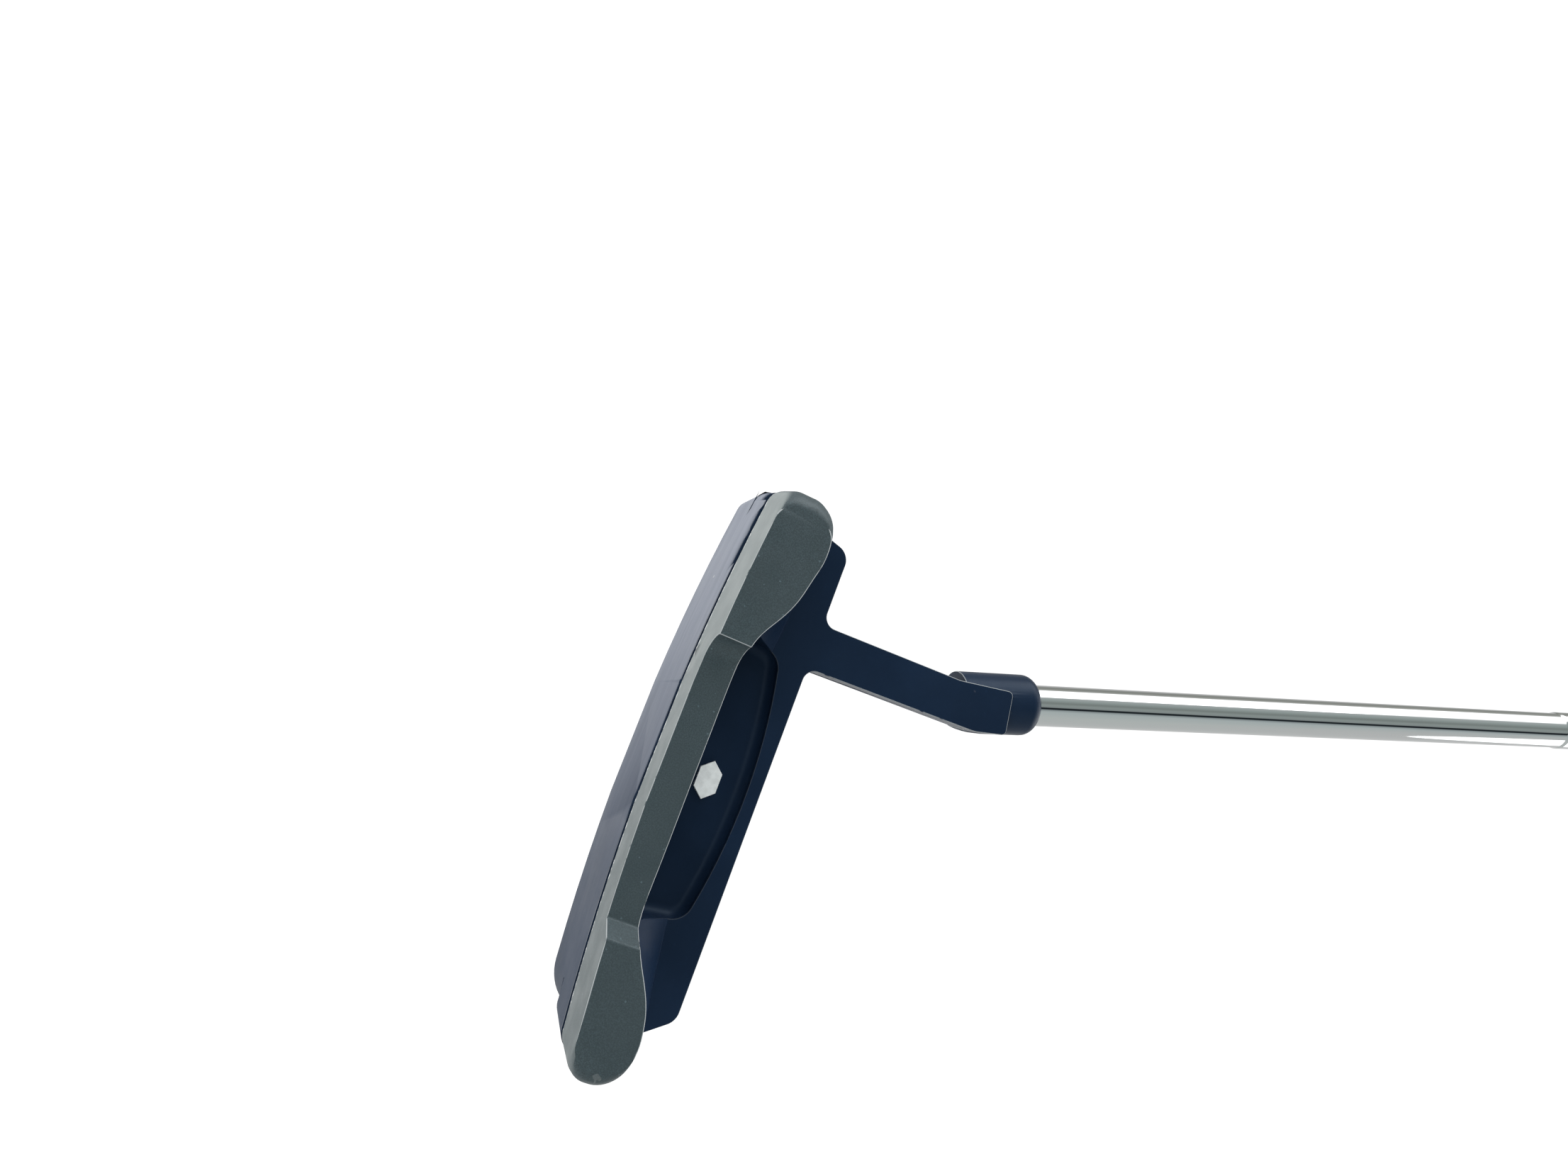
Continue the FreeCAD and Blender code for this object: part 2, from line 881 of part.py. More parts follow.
def stand_on_shaft_axis(body):
    """Places a body made along its own Z on the shaft's axis, from the hosel's mouth up."""
    tilt = Rotation(Vector(0, 1, 0), size("lie_angle") - 90)
    body.Placement = Placement(Vector(), tilt)
    body.setExpression("Placement.Base.x", cell("shaft_x"))
    body.setExpression("Placement.Base.y", cell("shaft_y"))
    body.setExpression("Placement.Base.z", cell("hosel_height"))
    doc.recompute()
    return body


def turn(body, name, corners):
    """A solid of revolution about Z from a half section of (radius, height) formulas."""
    sketch = new_sketch(body, name, "XZ_Plane")
    draw_polygon(sketch, corners)
    feature = body.newObject("PartDesign::Revolution", name + "_turned")
    feature.Profile = sketch
    feature.ReferenceAxis = (sketch, ["V_Axis"])
    feature.Angle = 360
    doc.recompute()
    return feature


def make_shaft():
    """The stepped steel tube, from the bottom of the hosel's bore to the butt."""
    body = new_body("shaft")
    foot = "0 - bore_depth + foot_gap"
    outer = [("tip_radius", foot)]
    for step in range(int(size("step_count"))):
        low = f"tip_length + step_pitch * {step}"
        outer.append((f"tip_radius + step_rise * {step}", low))
        outer.append((f"tip_radius + step_rise * {step + 1}", f"{low} + step_ramp"))
    outer.append(("tip_radius + step_rise * step_count", "butt_height"))
    inner = [
        ("tip_radius + step_rise * step_count - tip_wall", "butt_height"),
        (
            "tip_radius + step_rise * step_count - tip_wall",
            "tip_length + step_pitch * step_count",
        ),
        ("tip_radius - tip_wall", "tip_length"),
        ("tip_radius - tip_wall", foot),
    ]
    turn(body, "tube", outer + inner)
    return stand_on_shaft_axis(body)


def make_ring(label, inner, outer, low, high):
    """A plain sleeve on the shaft's axis."""
    body = new_body(label)
    turn(body, label + "_wall", [(inner, low), (outer, low), (outer, high), (inner, high)])
    return stand_on_shaft_axis(body)


def make_tip_plug():
    """The foam plug in the shaft's foot, which keeps glue out of the tube."""
    body = new_body("tip_plug")
    foot = "0 - bore_depth + foot_gap"
    high = f"{foot} + plug_length"
    radius = "tip_radius - tip_wall - cap_gap"
    turn(body, "plug", [("0", foot), (radius, foot), (radius, high), ("0", high)])
    return stand_on_shaft_axis(body)


def draw_grip_section(sketch, half_wide, half_deep):
    """A round-backed grip section with a flat top for the thumbs."""
    flat = size("grip_flat")
    points = []
    for index in range(GRIP_POINTS):
        angle = 2 * math.pi * index / GRIP_POINTS
        across = half_wide * math.sin(angle)
        forward = half_deep * math.cos(angle)
        reach = half_deep - flat
        points.append(Vector(min(forward, reach), across, 0))
    curve = Part.BSplineCurve()
    curve.interpolate(points, PeriodicFlag=True)
    fix_outline(sketch, [curve])


def make_grip():
    """The moulded grip: a tapering paddle with a bore for the shaft and its tape."""
    body = new_body("grip")
    low = new_sketch(body, "grip_tip", "XY_Plane", "butt_height - grip_length")
    high = new_sketch(body, "grip_butt", "XY_Plane", "butt_height")
    draw_grip_section(low, size("grip_tip_half_wide"), size("grip_tip_half_deep"))
    draw_grip_section(high, size("grip_butt_half_wide"), size("grip_butt_half_deep"))
    doc.recompute()
    loft = body.newObject("PartDesign::AdditiveLoft", "paddle")
    loft.Profile = low
    loft.Sections = [high]
    loft.Ruled = True
    doc.recompute()
    bore = new_sketch(body, "grip_bore", "XY_Plane", "butt_height - grip_length - 1")
    draw_circle(bore, "0", "0", "tip_radius + step_rise * step_count + grip_gap")
    pocket(body, bore, "grip_length + 2")
    return stand_on_shaft_axis(body)


def make_grip_cap():
    """The butt cap: a domed disc with a spigot in the shaft and a vent hole."""
    body = new_body("grip_cap")
    spigot = "tip_radius + step_rise * step_count - tip_wall - cap_gap"
    turn(
        body,
        "cap",
        [
            ("vent_radius", "butt_height - cap_plug_length"),
            (spigot, "butt_height - cap_plug_length"),
            (spigot, "butt_height"),
            ("cap_radius", "butt_height"),
            ("cap_radius", "butt_height + cap_thick - cap_round"),
            ("cap_radius - cap_round", "butt_height + cap_thick"),
            ("vent_radius", "butt_height + cap_thick"),
        ],
    )
    return stand_on_shaft_axis(body)


def plain_cylinder(name, radius, length, place):
    """A cylinder along -Y whose size and place are sheet formulas."""
    solid = doc.addObject("Part::Cylinder", name)
    solid.setExpression("Radius", cell(radius))
    solid.setExpression("Height", cell(length))
    solid.Placement = Placement(Vector(), Rotation(Vector(1, 0, 0), 90))
    for axis, text in zip("xyz", place):
        solid.setExpression(f"Placement.Base.{axis}", cell(text))
    return solid


def make_frame_screws():
    """The two cap screws that hold the frame, with their hexagon sockets."""
    screws = []
    seat = "face_front - insert_depth"
    for name, across in SCREWS:
        head = plain_cylinder(
            f"{name}_head",
            "screw_head_radius",
            "screw_head_height",
            (across, seat, "screw_height"),
        )
        shank = plain_cylinder(
            f"{name}_shank",
            "screw_radius",
            "screw_reach",
            (across, f"{seat} - screw_head_height", "screw_height"),
        )
        socket = doc.addObject("Part::Prism", f"{name}_socket")
        socket.Polygon = 6
        socket.setExpression("Circumradius", cell("screw_radius * 0.85"))
        socket.setExpression("Height", cell("screw_head_height * 0.7"))
        socket.Placement = Placement(Vector(), Rotation(Vector(1, 0, 0), 90))
        for axis, text in zip("xyz", (across, seat, "screw_height")):
            socket.setExpression(f"Placement.Base.{axis}", cell(text))
        whole = doc.addObject("Part::Fuse", f"{name}_blank")
        whole.Base = head
        whole.Tool = shank
        screw = doc.addObject("Part::Cut", f"{name}_screw")
        screw.Base = whole
        screw.Tool = socket
        screws.append(screw)
    group = doc.addObject("Part::Compound", "frame_screws")
    group.Links = screws
    doc.recompute()
    return group


def make_dowel_pins():
    """The two dowels that line up the head pieces."""
    pins = [
        plain_cylinder(
            f"{side}_dowel",
            "pin_radius",
            "pin_half * 2 - 0.2",
            (f"{sign}pin_x", "( seam_front + seam_rear ) / 2 + pin_half - 0.1", "pin_height"),
        )
        for side, sign in (("heel", "0 - "), ("toe", ""))
    ]
    group = doc.addObject("Part::Compound", "dowel_pins")
    group.Links = pins
    doc.recompute()
    return group


def make_all():
    """Every piece of the club, in the order it is built up."""
    butt = "tip_radius + step_rise * step_count"
    tape_front = "face_front - insert_depth + tape_thick"
    return [
        make_front_body(),
        make_rear_frame(),
        make_seam_bond(),
        make_frame_screws(),
        make_dowel_pins(),
        make_insert("face_insert", "face_front", "insert_depth - tape_thick"),
        make_insert("insert_tape", tape_front, "tape_thick"),
        make_rear_mark(),
        make_sight_line(),
        make_shaft(),
        make_ring(
            "shaft_epoxy", "tip_radius", "hosel_bore", "0 - bore_depth", "0 - glue_drop"
        ),
        make_tip_plug(),
        make_ring(
            "grip_tape",
            butt,
            f"{butt} + grip_gap",
            "butt_height - grip_length + 2",
            "butt_height - 2",
        ),
        make_grip(),
        make_grip_cap(),
    ]


def check_and_write(pieces):
    """Stops on any failed object, then writes one file for each piece."""
    for item in doc.Objects:
        if "Invalid" in item.State or "Error" in item.State:
            raise RuntimeError(f"{item.Name} failed: {item.State}")
    os.makedirs("parts", exist_ok=True)
    for piece in pieces:
        shape = piece.Shape
        if shape.isNull() or not shape.isValid():
            raise RuntimeError(f"{piece.Label} is not a sound shape")
        shape.exportStep(f"parts/{piece.Label}.step")
        print(piece.Label, len(shape.Solids), round(shape.Volume, 1))


check_and_write(make_all())
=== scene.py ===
import math

import bmesh
import bpy
from bpy.props import FloatProperty, FloatVectorProperty, IntProperty, PointerProperty
from mathutils import Matrix, Vector, noise


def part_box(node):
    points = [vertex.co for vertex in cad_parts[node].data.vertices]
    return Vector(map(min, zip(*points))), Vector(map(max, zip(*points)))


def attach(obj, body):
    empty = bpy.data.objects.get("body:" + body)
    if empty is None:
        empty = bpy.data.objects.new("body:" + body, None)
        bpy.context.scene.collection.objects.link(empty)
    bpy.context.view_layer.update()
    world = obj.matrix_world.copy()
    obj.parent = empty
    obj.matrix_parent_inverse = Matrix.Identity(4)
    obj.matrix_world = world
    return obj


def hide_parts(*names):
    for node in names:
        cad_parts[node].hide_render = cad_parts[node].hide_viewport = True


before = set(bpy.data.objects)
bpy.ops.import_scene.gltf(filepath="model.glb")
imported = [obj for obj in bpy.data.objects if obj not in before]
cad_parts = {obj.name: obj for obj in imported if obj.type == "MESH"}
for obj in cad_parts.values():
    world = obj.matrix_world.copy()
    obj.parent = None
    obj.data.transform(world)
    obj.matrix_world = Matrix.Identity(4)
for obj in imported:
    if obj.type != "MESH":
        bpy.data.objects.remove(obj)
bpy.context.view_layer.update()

bl_info = {
    "name": "Mallet putter",
    "version": (1, 0, 0),
    "blender": (4, 5, 0),
    "location": "View3D > Sidebar > Putter",
    "description": "Builds the finished looks of a two-piece mallet putter",
    "category": "Object",
}

MM = 0.001
ROOT = "root"

# How near points are to be one point, or to lie in a plane.
WELD = 2e-6
IN_PLANE = 1e-5

# Angles between faces: still flat, sharp enough to round on a casting and on a CAD node, and
# creased in the shading.
FLAT_ANGLE = math.radians(0.25)
SHARP_ANGLE = math.radians(30)
BEVEL_ANGLE = math.radians(35)
SHADE_ANGLE = math.radians(38)

# Which of a casting's materials a face takes, and how far up a face must look to take painted shade:
# a less glossy copy of the black paint.
PLAIN, RUBBED, PAINTED_SHADE = 0, 1, 2
PAINTED_SHADE_SLOPE = 0.15

# The chips along the seam: waves of noise a metre, and how many chips' depth stays unrounded.
FINE_NICKS = 1400
COARSE_NICKS = 260
NICK_SHIFT = Vector((7, 3, 5))
CHIP_CLEARANCE = 2.5

# The shaft's axis, from the middle of the hosel's mouth.
MOUTH = Vector((-39.02, 13.0, 82.65)) * MM
AXIS_TILT = math.radians(-19)

# Where the head's main surfaces lie; the face looks along +Y and the toe points along +X.
NECK_FRONT_Y = 15.3 * MM
BLADE_BACK_Y = 5.7 * MM
SEAM_FRONT_Y = -4.2 * MM
SEAM_REAR_Y = -5.4 * MM
BLADE_TOP_Z = 26.5 * MM

# The heights over which the sole's finish fades out: rubbed, and painted with a pale reflection.
SOLE_LOW_Z = 5.5 * MM
SOLE_HIGH_Z = 7.5 * MM

# The scoop behind the blade, whose edges stay painted.
SCOOP_HALF_X = 33 * MM
SCOOP_TOP_Z = 26 * MM
SCOOP_BELOW_MARK = 5 * MM
SCOOP_BEHIND_BLADE = 0.3 * MM

# The draft on the neck's toe side, and the lengths over which it fades out.
NECK_DRAFT = 1.2 * MM
NECK_DRAFT_X = -35 * MM
HOSEL_FOOT_Z = 70 * MM
FADE_TO_HEEL = 5 * MM
FADE_TO_BLADE = 4 * MM
FADE_TO_HOSEL = 7 * MM

# The ramp at the toe end of the frame's waist, how many edge rounds its own round is, and the
# round ends of the lobes.
RAMP_LOW_X = 31 * MM
RAMP_HIGH_X = 37 * MM
RAMP_MIN_RISE = 2 * MM
RAMP_ROUND = 2.5
LOBE_END = 7.5 * MM

# Points along a step's slope in the shaft, from 0 to 1.
STEP_POINTS = (0.0, 0.12, 0.35, 0.65, 0.88, 1.0)

# The grip: how much its ends taper, and where the pattern's flat and back begin, as cosines
# from the flat's middle.
END_TAPER = 0.05
FLAT_FROM = 0.62
BACK_FROM = 0.45
BACK_FADE = 0.12
PATTERN_FADE = 4 * MM
RIDGE_FADE = 0.6 * MM
GROOVE_SLANT = 4 * MM
GROOVE_SHARE = 0.45

# The camera, low behind the club and rolled on its side.
CAMERA_PLACE = Vector((9.413, -224.117, -51.501)) * MM
CAMERA_AHEAD = Vector((-0.19798, 0.94093, 0.27469))
CAMERA_UP = Vector((-0.91599, -0.07783, -0.39359))

# The window lamp on the heel's side, in metres.
WINDOW_PLACE = Vector((-1.4, -0.38, 0.25))
WINDOW_TARGET = Vector((0, 0, 0.02))
WINDOW_SIZE = (0.85, 1.4)

# The heights, as parts of straight up, between which the walls turn into the ceiling.
CEILING_EDGE = (0.80, 0.95)

# Colour of the studio's walls by compass angle: degrees from +Y, with +X at 90. A dark strip
# stands at 180, behind the club, and a bright window from -123 to -87, on the heel's side.
WALL_TONES = (
    (-180, (0.010, 0.014, 0.018)),
    (-177, (0.015, 0.020, 0.024)),
    (-174, (0.26, 0.29, 0.29)),
    (-164, (0.3, 0.34, 0.33)),
    (-153, (0.22, 0.25, 0.24)),
    (-140, (0.33, 0.38, 0.37)),
    (-127, (0.45, 0.48, 0.48)),
    (-123, (1.6, 1.6, 1.6)),
    (-87, (1.6, 1.6, 1.6)),
    (-80, (0.4, 0.4, 0.38)),
    (-62, (0.24, 0.25, 0.23)),
    (-38, (0.5, 0.5, 0.5)),
    (0, (0.55, 0.55, 0.55)),
    (120, (0.52, 0.55, 0.54)),
    (160, (0.46, 0.51, 0.51)),
    (171, (0.3, 0.34, 0.35)),
    (176, (0.012, 0.018, 0.022)),
    (180, (0.010, 0.014, 0.018)),
)


# ---------------------------------------------------------------- settings


def length(name, description, default):
    """A size a user can change, in metres."""
    return FloatProperty(
        name=name, description=description, default=default, min=0, unit="LENGTH", precision=5
    )


def colour(name, description, default):
    """A colour a user can change."""
    return FloatVectorProperty(
        name=name, description=description, default=default, min=0, max=1, size=3, subtype="COLOR"
    )


def share(name, description, default):
    """A number from 0 to 1 a user can change."""
    return FloatProperty(
        name=name, description=description, default=default, min=0, max=1, subtype="FACTOR"
    )


def amount(name, description, default):
    """A strength a user can change."""
    return FloatProperty(name=name, description=description, default=default, min=0)


class HeadSettings(bpy.types.PropertyGroup):
    """Sizes and finishes of the two head castings and the bond between them."""

    edge_round: length("Edge round", "Radius of the castings' outer edges", 0.00014)
    chip_size: length("Chip size", "How deep the chips along the seam bite", 0.00022)
    chip_pitch: length("Chip pitch", "Distance between points along the seam's edge", 0.0005)
    black: colour("Black paint", "Satin paint of the front body", (0.0076, 0.0170, 0.0380))
    black_rough: share("Black roughness", "Roughness of the black paint", 0.33)
    grey: colour("Grey finish", "Blasted finish of the rear frame", (0.039, 0.058, 0.066))
    grey_rough: share("Grey roughness", "Roughness of the blasted finish", 0.50)
    # The sole haze is painted reflection as well as rubbed paint: the pale sheen of the down-facing
    # sole.
    sole_sheen_and_haze: colour("Sole haze", "Pale haze of the rubbed sole", (0.255, 0.270, 0.315))
    # The grey sole is paler partly from rubbing and partly as painted reflection.
    grey_sole_and_sheen: colour("Grey sole", "Paler grey of the rubbed sole", (0.215, 0.24, 0.24))
    worn: colour("Worn edge", "Metal that shows where the finish is rubbed off", (0.34, 0.36, 0.37))
    wear: share("Wear", "How much of each edge is rubbed bright", 0.8)
    bond: colour("Bond", "Dark bond in the seam", (0.010, 0.008, 0.018))


class TrimSettings(bpy.types.PropertyGroup):
    """Sizes and colours of the insert, the rear mark, the sight line and the fasteners."""

    insert: colour("Insert", "Face insert", (0.055, 0.065, 0.08))
    rib_pitch: length("Rib pitch", "Distance between the face grooves", 0.0016)
    rib_depth: length("Rib depth", "Depth of the face grooves", 0.00018)
    rib_side: length("Groove side", "Width of each groove's sloped side", 0.0001)
    rib_margin: length("Groove margin", "Plain band at each end of the insert", 0.004)
    tape: colour("Tape", "Tape behind the insert", (0.62, 0.58, 0.47))
    steel: colour("Fasteners", "Steel of the screws and dowels", (0.52, 0.52, 0.53))
    mark_round: length("Mark round", "Radius of the mark's edges", 0.0002)
    fastener_round: length("Fastener round", "Radius of the screws' and dowels' edges", 0.00015)
    mark: colour("Mark", "Plain raised mark on the scoop's floor", (0.88, 0.90, 0.90))
    line: colour("Sight line", "Paint in the sight line's groove", (0.85, 0.85, 0.82))


class ShaftSettings(bpy.types.PropertyGroup):
    """Sizes and finish of the stepped shaft."""

    tip_radius: length("Tip radius", "Outer radius at the hosel", 0.0047)
    wall: length("Wall", "Thickness of the tube", 0.0009)
    foot: length("Foot depth", "Depth of the foot below the hosel's mouth", 0.0196)
    first_step: length("First step", "Height of the first step above the hosel's mouth", 0.163)
    step_pitch: length("Step pitch", "Distance between steps", 0.036)
    step_rise: length("Step rise", "Growth in radius at each step", 0.00028)
    step_ramp: length("Step ramp", "Length of each step's slope", 0.0012)
    butt: length("Butt height", "Height of the butt above the hosel's mouth", 0.773)
    steps: IntProperty(name="Steps", description="Number of steps", default=10, min=1)
    turns: IntProperty(name="Sides", description="Faces round the tube", default=128, min=16)
    chrome: colour("Chrome", "Plated steel", (0.56, 0.575, 0.575))
    chrome_rough: share("Roughness", "Roughness of the plating", 0.02)
    epoxy: colour("Epoxy", "Epoxy between shaft and hosel", (0.55, 0.5, 0.35))
    foam: colour("Foam", "Foam plug in the tip", (0.25, 0.25, 0.25))


class GripSettings(bpy.types.PropertyGroup):
    """Sizes and finish of the moulded grip and its cap."""

    grip_length: length("Grip length", "Length from the mouth to the butt", 0.267)
    tip_half_wide: length("Mouth half width", "Half width at the mouth", 0.0104)
    tip_half_deep: length("Mouth half depth", "Half depth at the mouth, before the flat", 0.0118)
    butt_half_wide: length("Butt half width", "Half width at the butt", 0.0132)
    butt_half_deep: length("Butt half depth", "Half depth at the butt, before the flat", 0.0146)
    flat: length("Thumb flat", "How much the flat side takes off", 0.0024)
    bore: length("Bore radius", "Radius of the bore for the shaft and its tape", 0.0079)
    groove_pitch: length("Groove pitch", "Distance between the cross grooves", 0.0052)
    groove_depth: length("Groove depth", "Depth of the moulded grooves", 0.00045)
    cap_round: length("Cap round", "Radius of the cap's edges", 0.0003)
    end_round: length("End round", "Length over which each end rounds in", 0.0018)
    plain_end: length("Plain end", "Smooth band at each end", 0.012)
    flat_round: length("Flat round", "Softness of the flat's sides", 0.001)
    ridge_pitch: length("Ridge pitch", "Distance between the grooves along the flat", 0.0022)
    ridge_half: length("Ridge half width", "Half width of the flat's pattern", 0.0062)
    rows: IntProperty(name="Rows", description="Rings of points along the grip", default=420, min=20)
    sides: IntProperty(name="Sides", description="Points round the grip", default=144, min=24)
    rubber: colour("Rubber", "Moulded rubber", (0.010, 0.0105, 0.012))
    rubber_rough: share("Roughness", "Roughness of the rubber", 0.62)
    tape: colour("Tape", "Tape under the grip", (0.66, 0.60, 0.46))


class StageSettings(bpy.types.PropertyGroup):
    """Floor, light and camera."""

    floor_drop: length("Floor drop", "Distance from the sole down to the floor", 0.40)
    floor_size: length("Floor size", "Width of the square floor", 30.0)
    floor_glow: amount("Floor glow", "Light the floor gives", 0.18)
    floor_colour: colour("Floor colour", "Plain pale floor", (0.93, 0.93, 0.93))
    ceiling: colour("Ceiling", "Light from straight above", (0.55, 0.55, 0.55))
    wall_light: amount("Wall light", "Strength of the walls' light", 1.35)
    backdrop: amount("Backdrop", "Brightness of the plain white past the floor", 1.1)
    sun_power: amount("Sun power", "Strength of the soft sun", 0.9)
    sun_spread: amount("Sun spread", "Angle the sun fills, in radians", math.radians(50))
    window_power: amount("Window power", "Power of the window lamp, in watts", 11)
    lens: FloatProperty(name="Lens", description="Focal length", default=27.03, min=1, unit="CAMERA")


# ---------------------------------------------------------------- materials


class Nodes:
    """An empty node tree and short calls that fill it."""

    def __init__(self, tree):
        self.tree = tree
        self.tree.nodes.clear()

    def add(self, kind, **values):
        """A new node with its properties set."""
        node = self.tree.nodes.new(kind)
        for name, value in values.items():
            setattr(node, name, value)
        return node

    def join(self, start, end):
        """A link between two sockets."""
        self.tree.links.new(start, end)

    def feed(self, socket, value):
        """Gives a socket a link or a plain value."""
        if isinstance(value, bpy.types.NodeSocket):
            self.join(value, socket)
        elif isinstance(value, tuple) and len(value) == 3 and len(socket.default_value) == 4:
            socket.default_value = (*value, 1)
        else:
            socket.default_value = value

    def maths(self, operation, first, second):
        """One sum of two values."""
        node = self.add("ShaderNodeMath", operation=operation)
        self.feed(node.inputs[0], first)
        self.feed(node.inputs[1], second)
        return node.outputs[0]

    def between(self, value, low, high, new_low=0.0, new_high=1.0):
        """A value moved from one range into another, and held there."""
        node = self.add("ShaderNodeMapRange", interpolation_type="SMOOTHSTEP")
        self.feed(node.inputs["Value"], value)
        for name, number in zip(
            ("From Min", "From Max", "To Min", "To Max"), (low, high, new_low, new_high)
        ):
            node.inputs[name].default_value = number
        return node.outputs["Result"]

    def mix(self, factor, first, second):
        """A blend of two colours."""
        node = self.add("ShaderNodeMix", data_type="RGBA")
        self.feed(node.inputs["Factor"], factor)
        self.feed(node.inputs[6], first)
        self.feed(node.inputs[7], second)
        return node.outputs[2]

    def times(self, first, *others):
        """The product of two or more values."""
        for other in others:
            first = self.maths("MULTIPLY", first, other)
        return first

    def parts(self, vector):
        """The X, Y and Z of a vector, by name."""
        node = self.add("ShaderNodeSeparateXYZ")
        self.join(vector, node.inputs[0])
        return node.outputs


class Finish(Nodes):
    """One node material on an object's own coordinates, in metres."""

    def __init__(self, name, base=(0.5, 0.5, 0.5), rough=0.5, metal=0.0):
        self.material = bpy.data.materials.new(name)
        self.material.use_nodes = True
        super().__init__(self.material.node_tree)
        self.shader = self.add("ShaderNodeBsdfPrincipled")
        self.shader.inputs["Base Color"].default_value = (*base, 1)
        self.shader.inputs["Roughness"].default_value = rough
        self.shader.inputs["Metallic"].default_value = metal
        output = self.add("ShaderNodeOutputMaterial")
        self.join(self.shader.outputs["BSDF"], output.inputs["Surface"])
        self.coords = self.add("ShaderNodeTexCoord")
        self.place = self.coords.outputs["Object"]
        self.bumps = None

    def stretched(self, scale, turn=(0.0, 0.0, 0.0)):
        """The object's coordinates, stretched and turned."""
        node = self.add("ShaderNodeMapping")
        self.join(self.place, node.inputs["Vector"])
        node.inputs["Scale"].default_value = scale
        node.inputs["Rotation"].default_value = turn
        return node.outputs["Vector"]

    def grain(self, scale, detail=2.0, rough=0.5, warp=0.0, where=None):
        """Cloudy noise from 0 to 1; scale is in patches a metre."""
        node = self.add("ShaderNodeTexNoise")
        self.join(where or self.place, node.inputs["Vector"])
        node.inputs["Scale"].default_value = scale
        node.inputs["Detail"].default_value = detail
        node.inputs["Roughness"].default_value = rough
        node.inputs["Distortion"].default_value = warp
        return node.outputs["Fac"]

    def cells(self, scale):
        """Distance to the nearest of many scattered points."""
        node = self.add("ShaderNodeTexVoronoi")
        self.join(self.place, node.inputs["Vector"])
        node.inputs["Scale"].default_value = scale
        return node.outputs["Distance"]

    def axis(self, name):
        """One coordinate of a surface point."""
        return self.parts(self.place)[name]

    def facing_down(self, low, high):
        """1 where the surface faces the ground, 0 where it stands or faces up."""
        return self.between(self.parts(self.coords.outputs["Normal"])["Z"], -low, -high)

    def low(self):
        """1 near the ground and 0 above the head's lower edges."""
        return self.between(self.axis("Z"), SOLE_HIGH_Z, SOLE_LOW_Z)

    def paint(self, value):
        """Sets the base colour."""
        self.feed(self.shader.inputs["Base Color"], value)

    def roughen(self, value):
        """Sets the roughness."""
        self.feed(self.shader.inputs["Roughness"], value)

    def bump(self, height, depth, strength):
        """Adds a height map to the surface."""
        node = self.add("ShaderNodeBump")
        node.inputs["Distance"].default_value = depth
        node.inputs["Strength"].default_value = strength
        self.feed(node.inputs["Height"], height)
        if self.bumps:
            self.join(self.bumps, node.inputs["Normal"])
        self.bumps = node.outputs["Normal"]
        self.join(self.bumps, self.shader.inputs["Normal"])

    def set(self, **values):
        """Plain values on the shader's own sockets, named with _ for a space."""
        for name, value in values.items():
            self.shader.inputs[name.replace("_", " ")].default_value = value


def scuffs(finish, strength):
    """Fine scratches and dots in scattered patches; strength is a socket."""
    along = finish.stretched((260, 30, 260), (0.2, 0.5, 0.9))
    scratch = finish.between(finish.grain(1.0, 2, 0.5, 0.6, along), 0.735, 0.760)
    dots = finish.between(finish.cells(150), 0.060, 0.035)
    patch = finish.between(finish.grain(26, 2), 0.50, 0.62)
    return finish.times(finish.maths("MAXIMUM", scratch, dots), patch, strength)


def black_paint(name, head, worn, sheen=0.12):
    """Satin navy-black paint with scuffs and a pale sole, partly rubbed and partly a painted
    reflection that is brightest at the heel; worn is how far it is rubbed to metal."""
    finish = Finish(name)
    finish.set(Specular_IOR_Level=sheen, Specular_Tint=(0.6, 0.8, 1.0, 1.0))
    deep = Vector(head.black)
    clouds = finish.between(finish.grain(38, 3), 0.35, 0.65)
    base = finish.mix(clouds, tuple(deep * 0.88), tuple(deep * 1.12))
    dust = finish.between(finish.grain(900, 4, 0.7), 0.60, 0.80, 0.0, 0.35)
    base = finish.mix(dust, base, tuple(deep * 1.9))
    # Painted reflection: the down-facing sole takes the pale haze, strongest at the heel and fading
    # towards the toe, in place of the sheen the paint shows at a grazing angle; the brushed streaks
    # and scuffs on it are real rubbing.
    off_seam = finish.between(finish.axis("Y"), SEAM_FRONT_Y + 0.5 * MM, SEAM_FRONT_Y + 1.0 * MM)
    sole = finish.times(finish.facing_down(0.25, 0.80), finish.low(), off_seam)
    fade = finish.between(finish.axis("X"), -52 * MM, 50 * MM, 1.0, 0.16)
    streak = finish.stretched((30, 420, 30))
    brushed = finish.between(finish.grain(1.0, 4, 0.6, 0.4, streak), 0.25, 0.75, 0.82, 1.0)
    base = finish.mix(finish.times(sole, fade, brushed), base, tuple(head.sole_sheen_and_haze))
    marks = scuffs(finish, finish.between(sole, 0.0, 1.0, 0.12, 1.0))
    base = finish.mix(marks, base, (0.42, 0.42, 0.44))
    if worn > 0:
        rub = finish.between(finish.grain(210, 4, 0.65), 0.62 - 0.36 * worn, 0.72 - 0.36 * worn)
        handled = finish.between(finish.axis("Z"), 24 * MM, 30 * MM, 0.10, 0.80)
        base = finish.mix(finish.times(rub, handled), base, tuple(head.worn))
    finish.paint(base)
    rough = head.black_rough
    uneven = finish.between(finish.grain(70, 4, 0.6), 0.3, 0.7, rough - 0.05, rough + 0.07)
    dull = finish.between(sole, 0.0, 1.0, 0.0, 0.27)
    finish.roughen(finish.maths("ADD", uneven, dull))
    finish.bump(finish.grain(5200, 2), 0.000012, 0.5)
    finish.bump(finish.grain(420, 3), 0.00002, 0.25)
    return finish.material


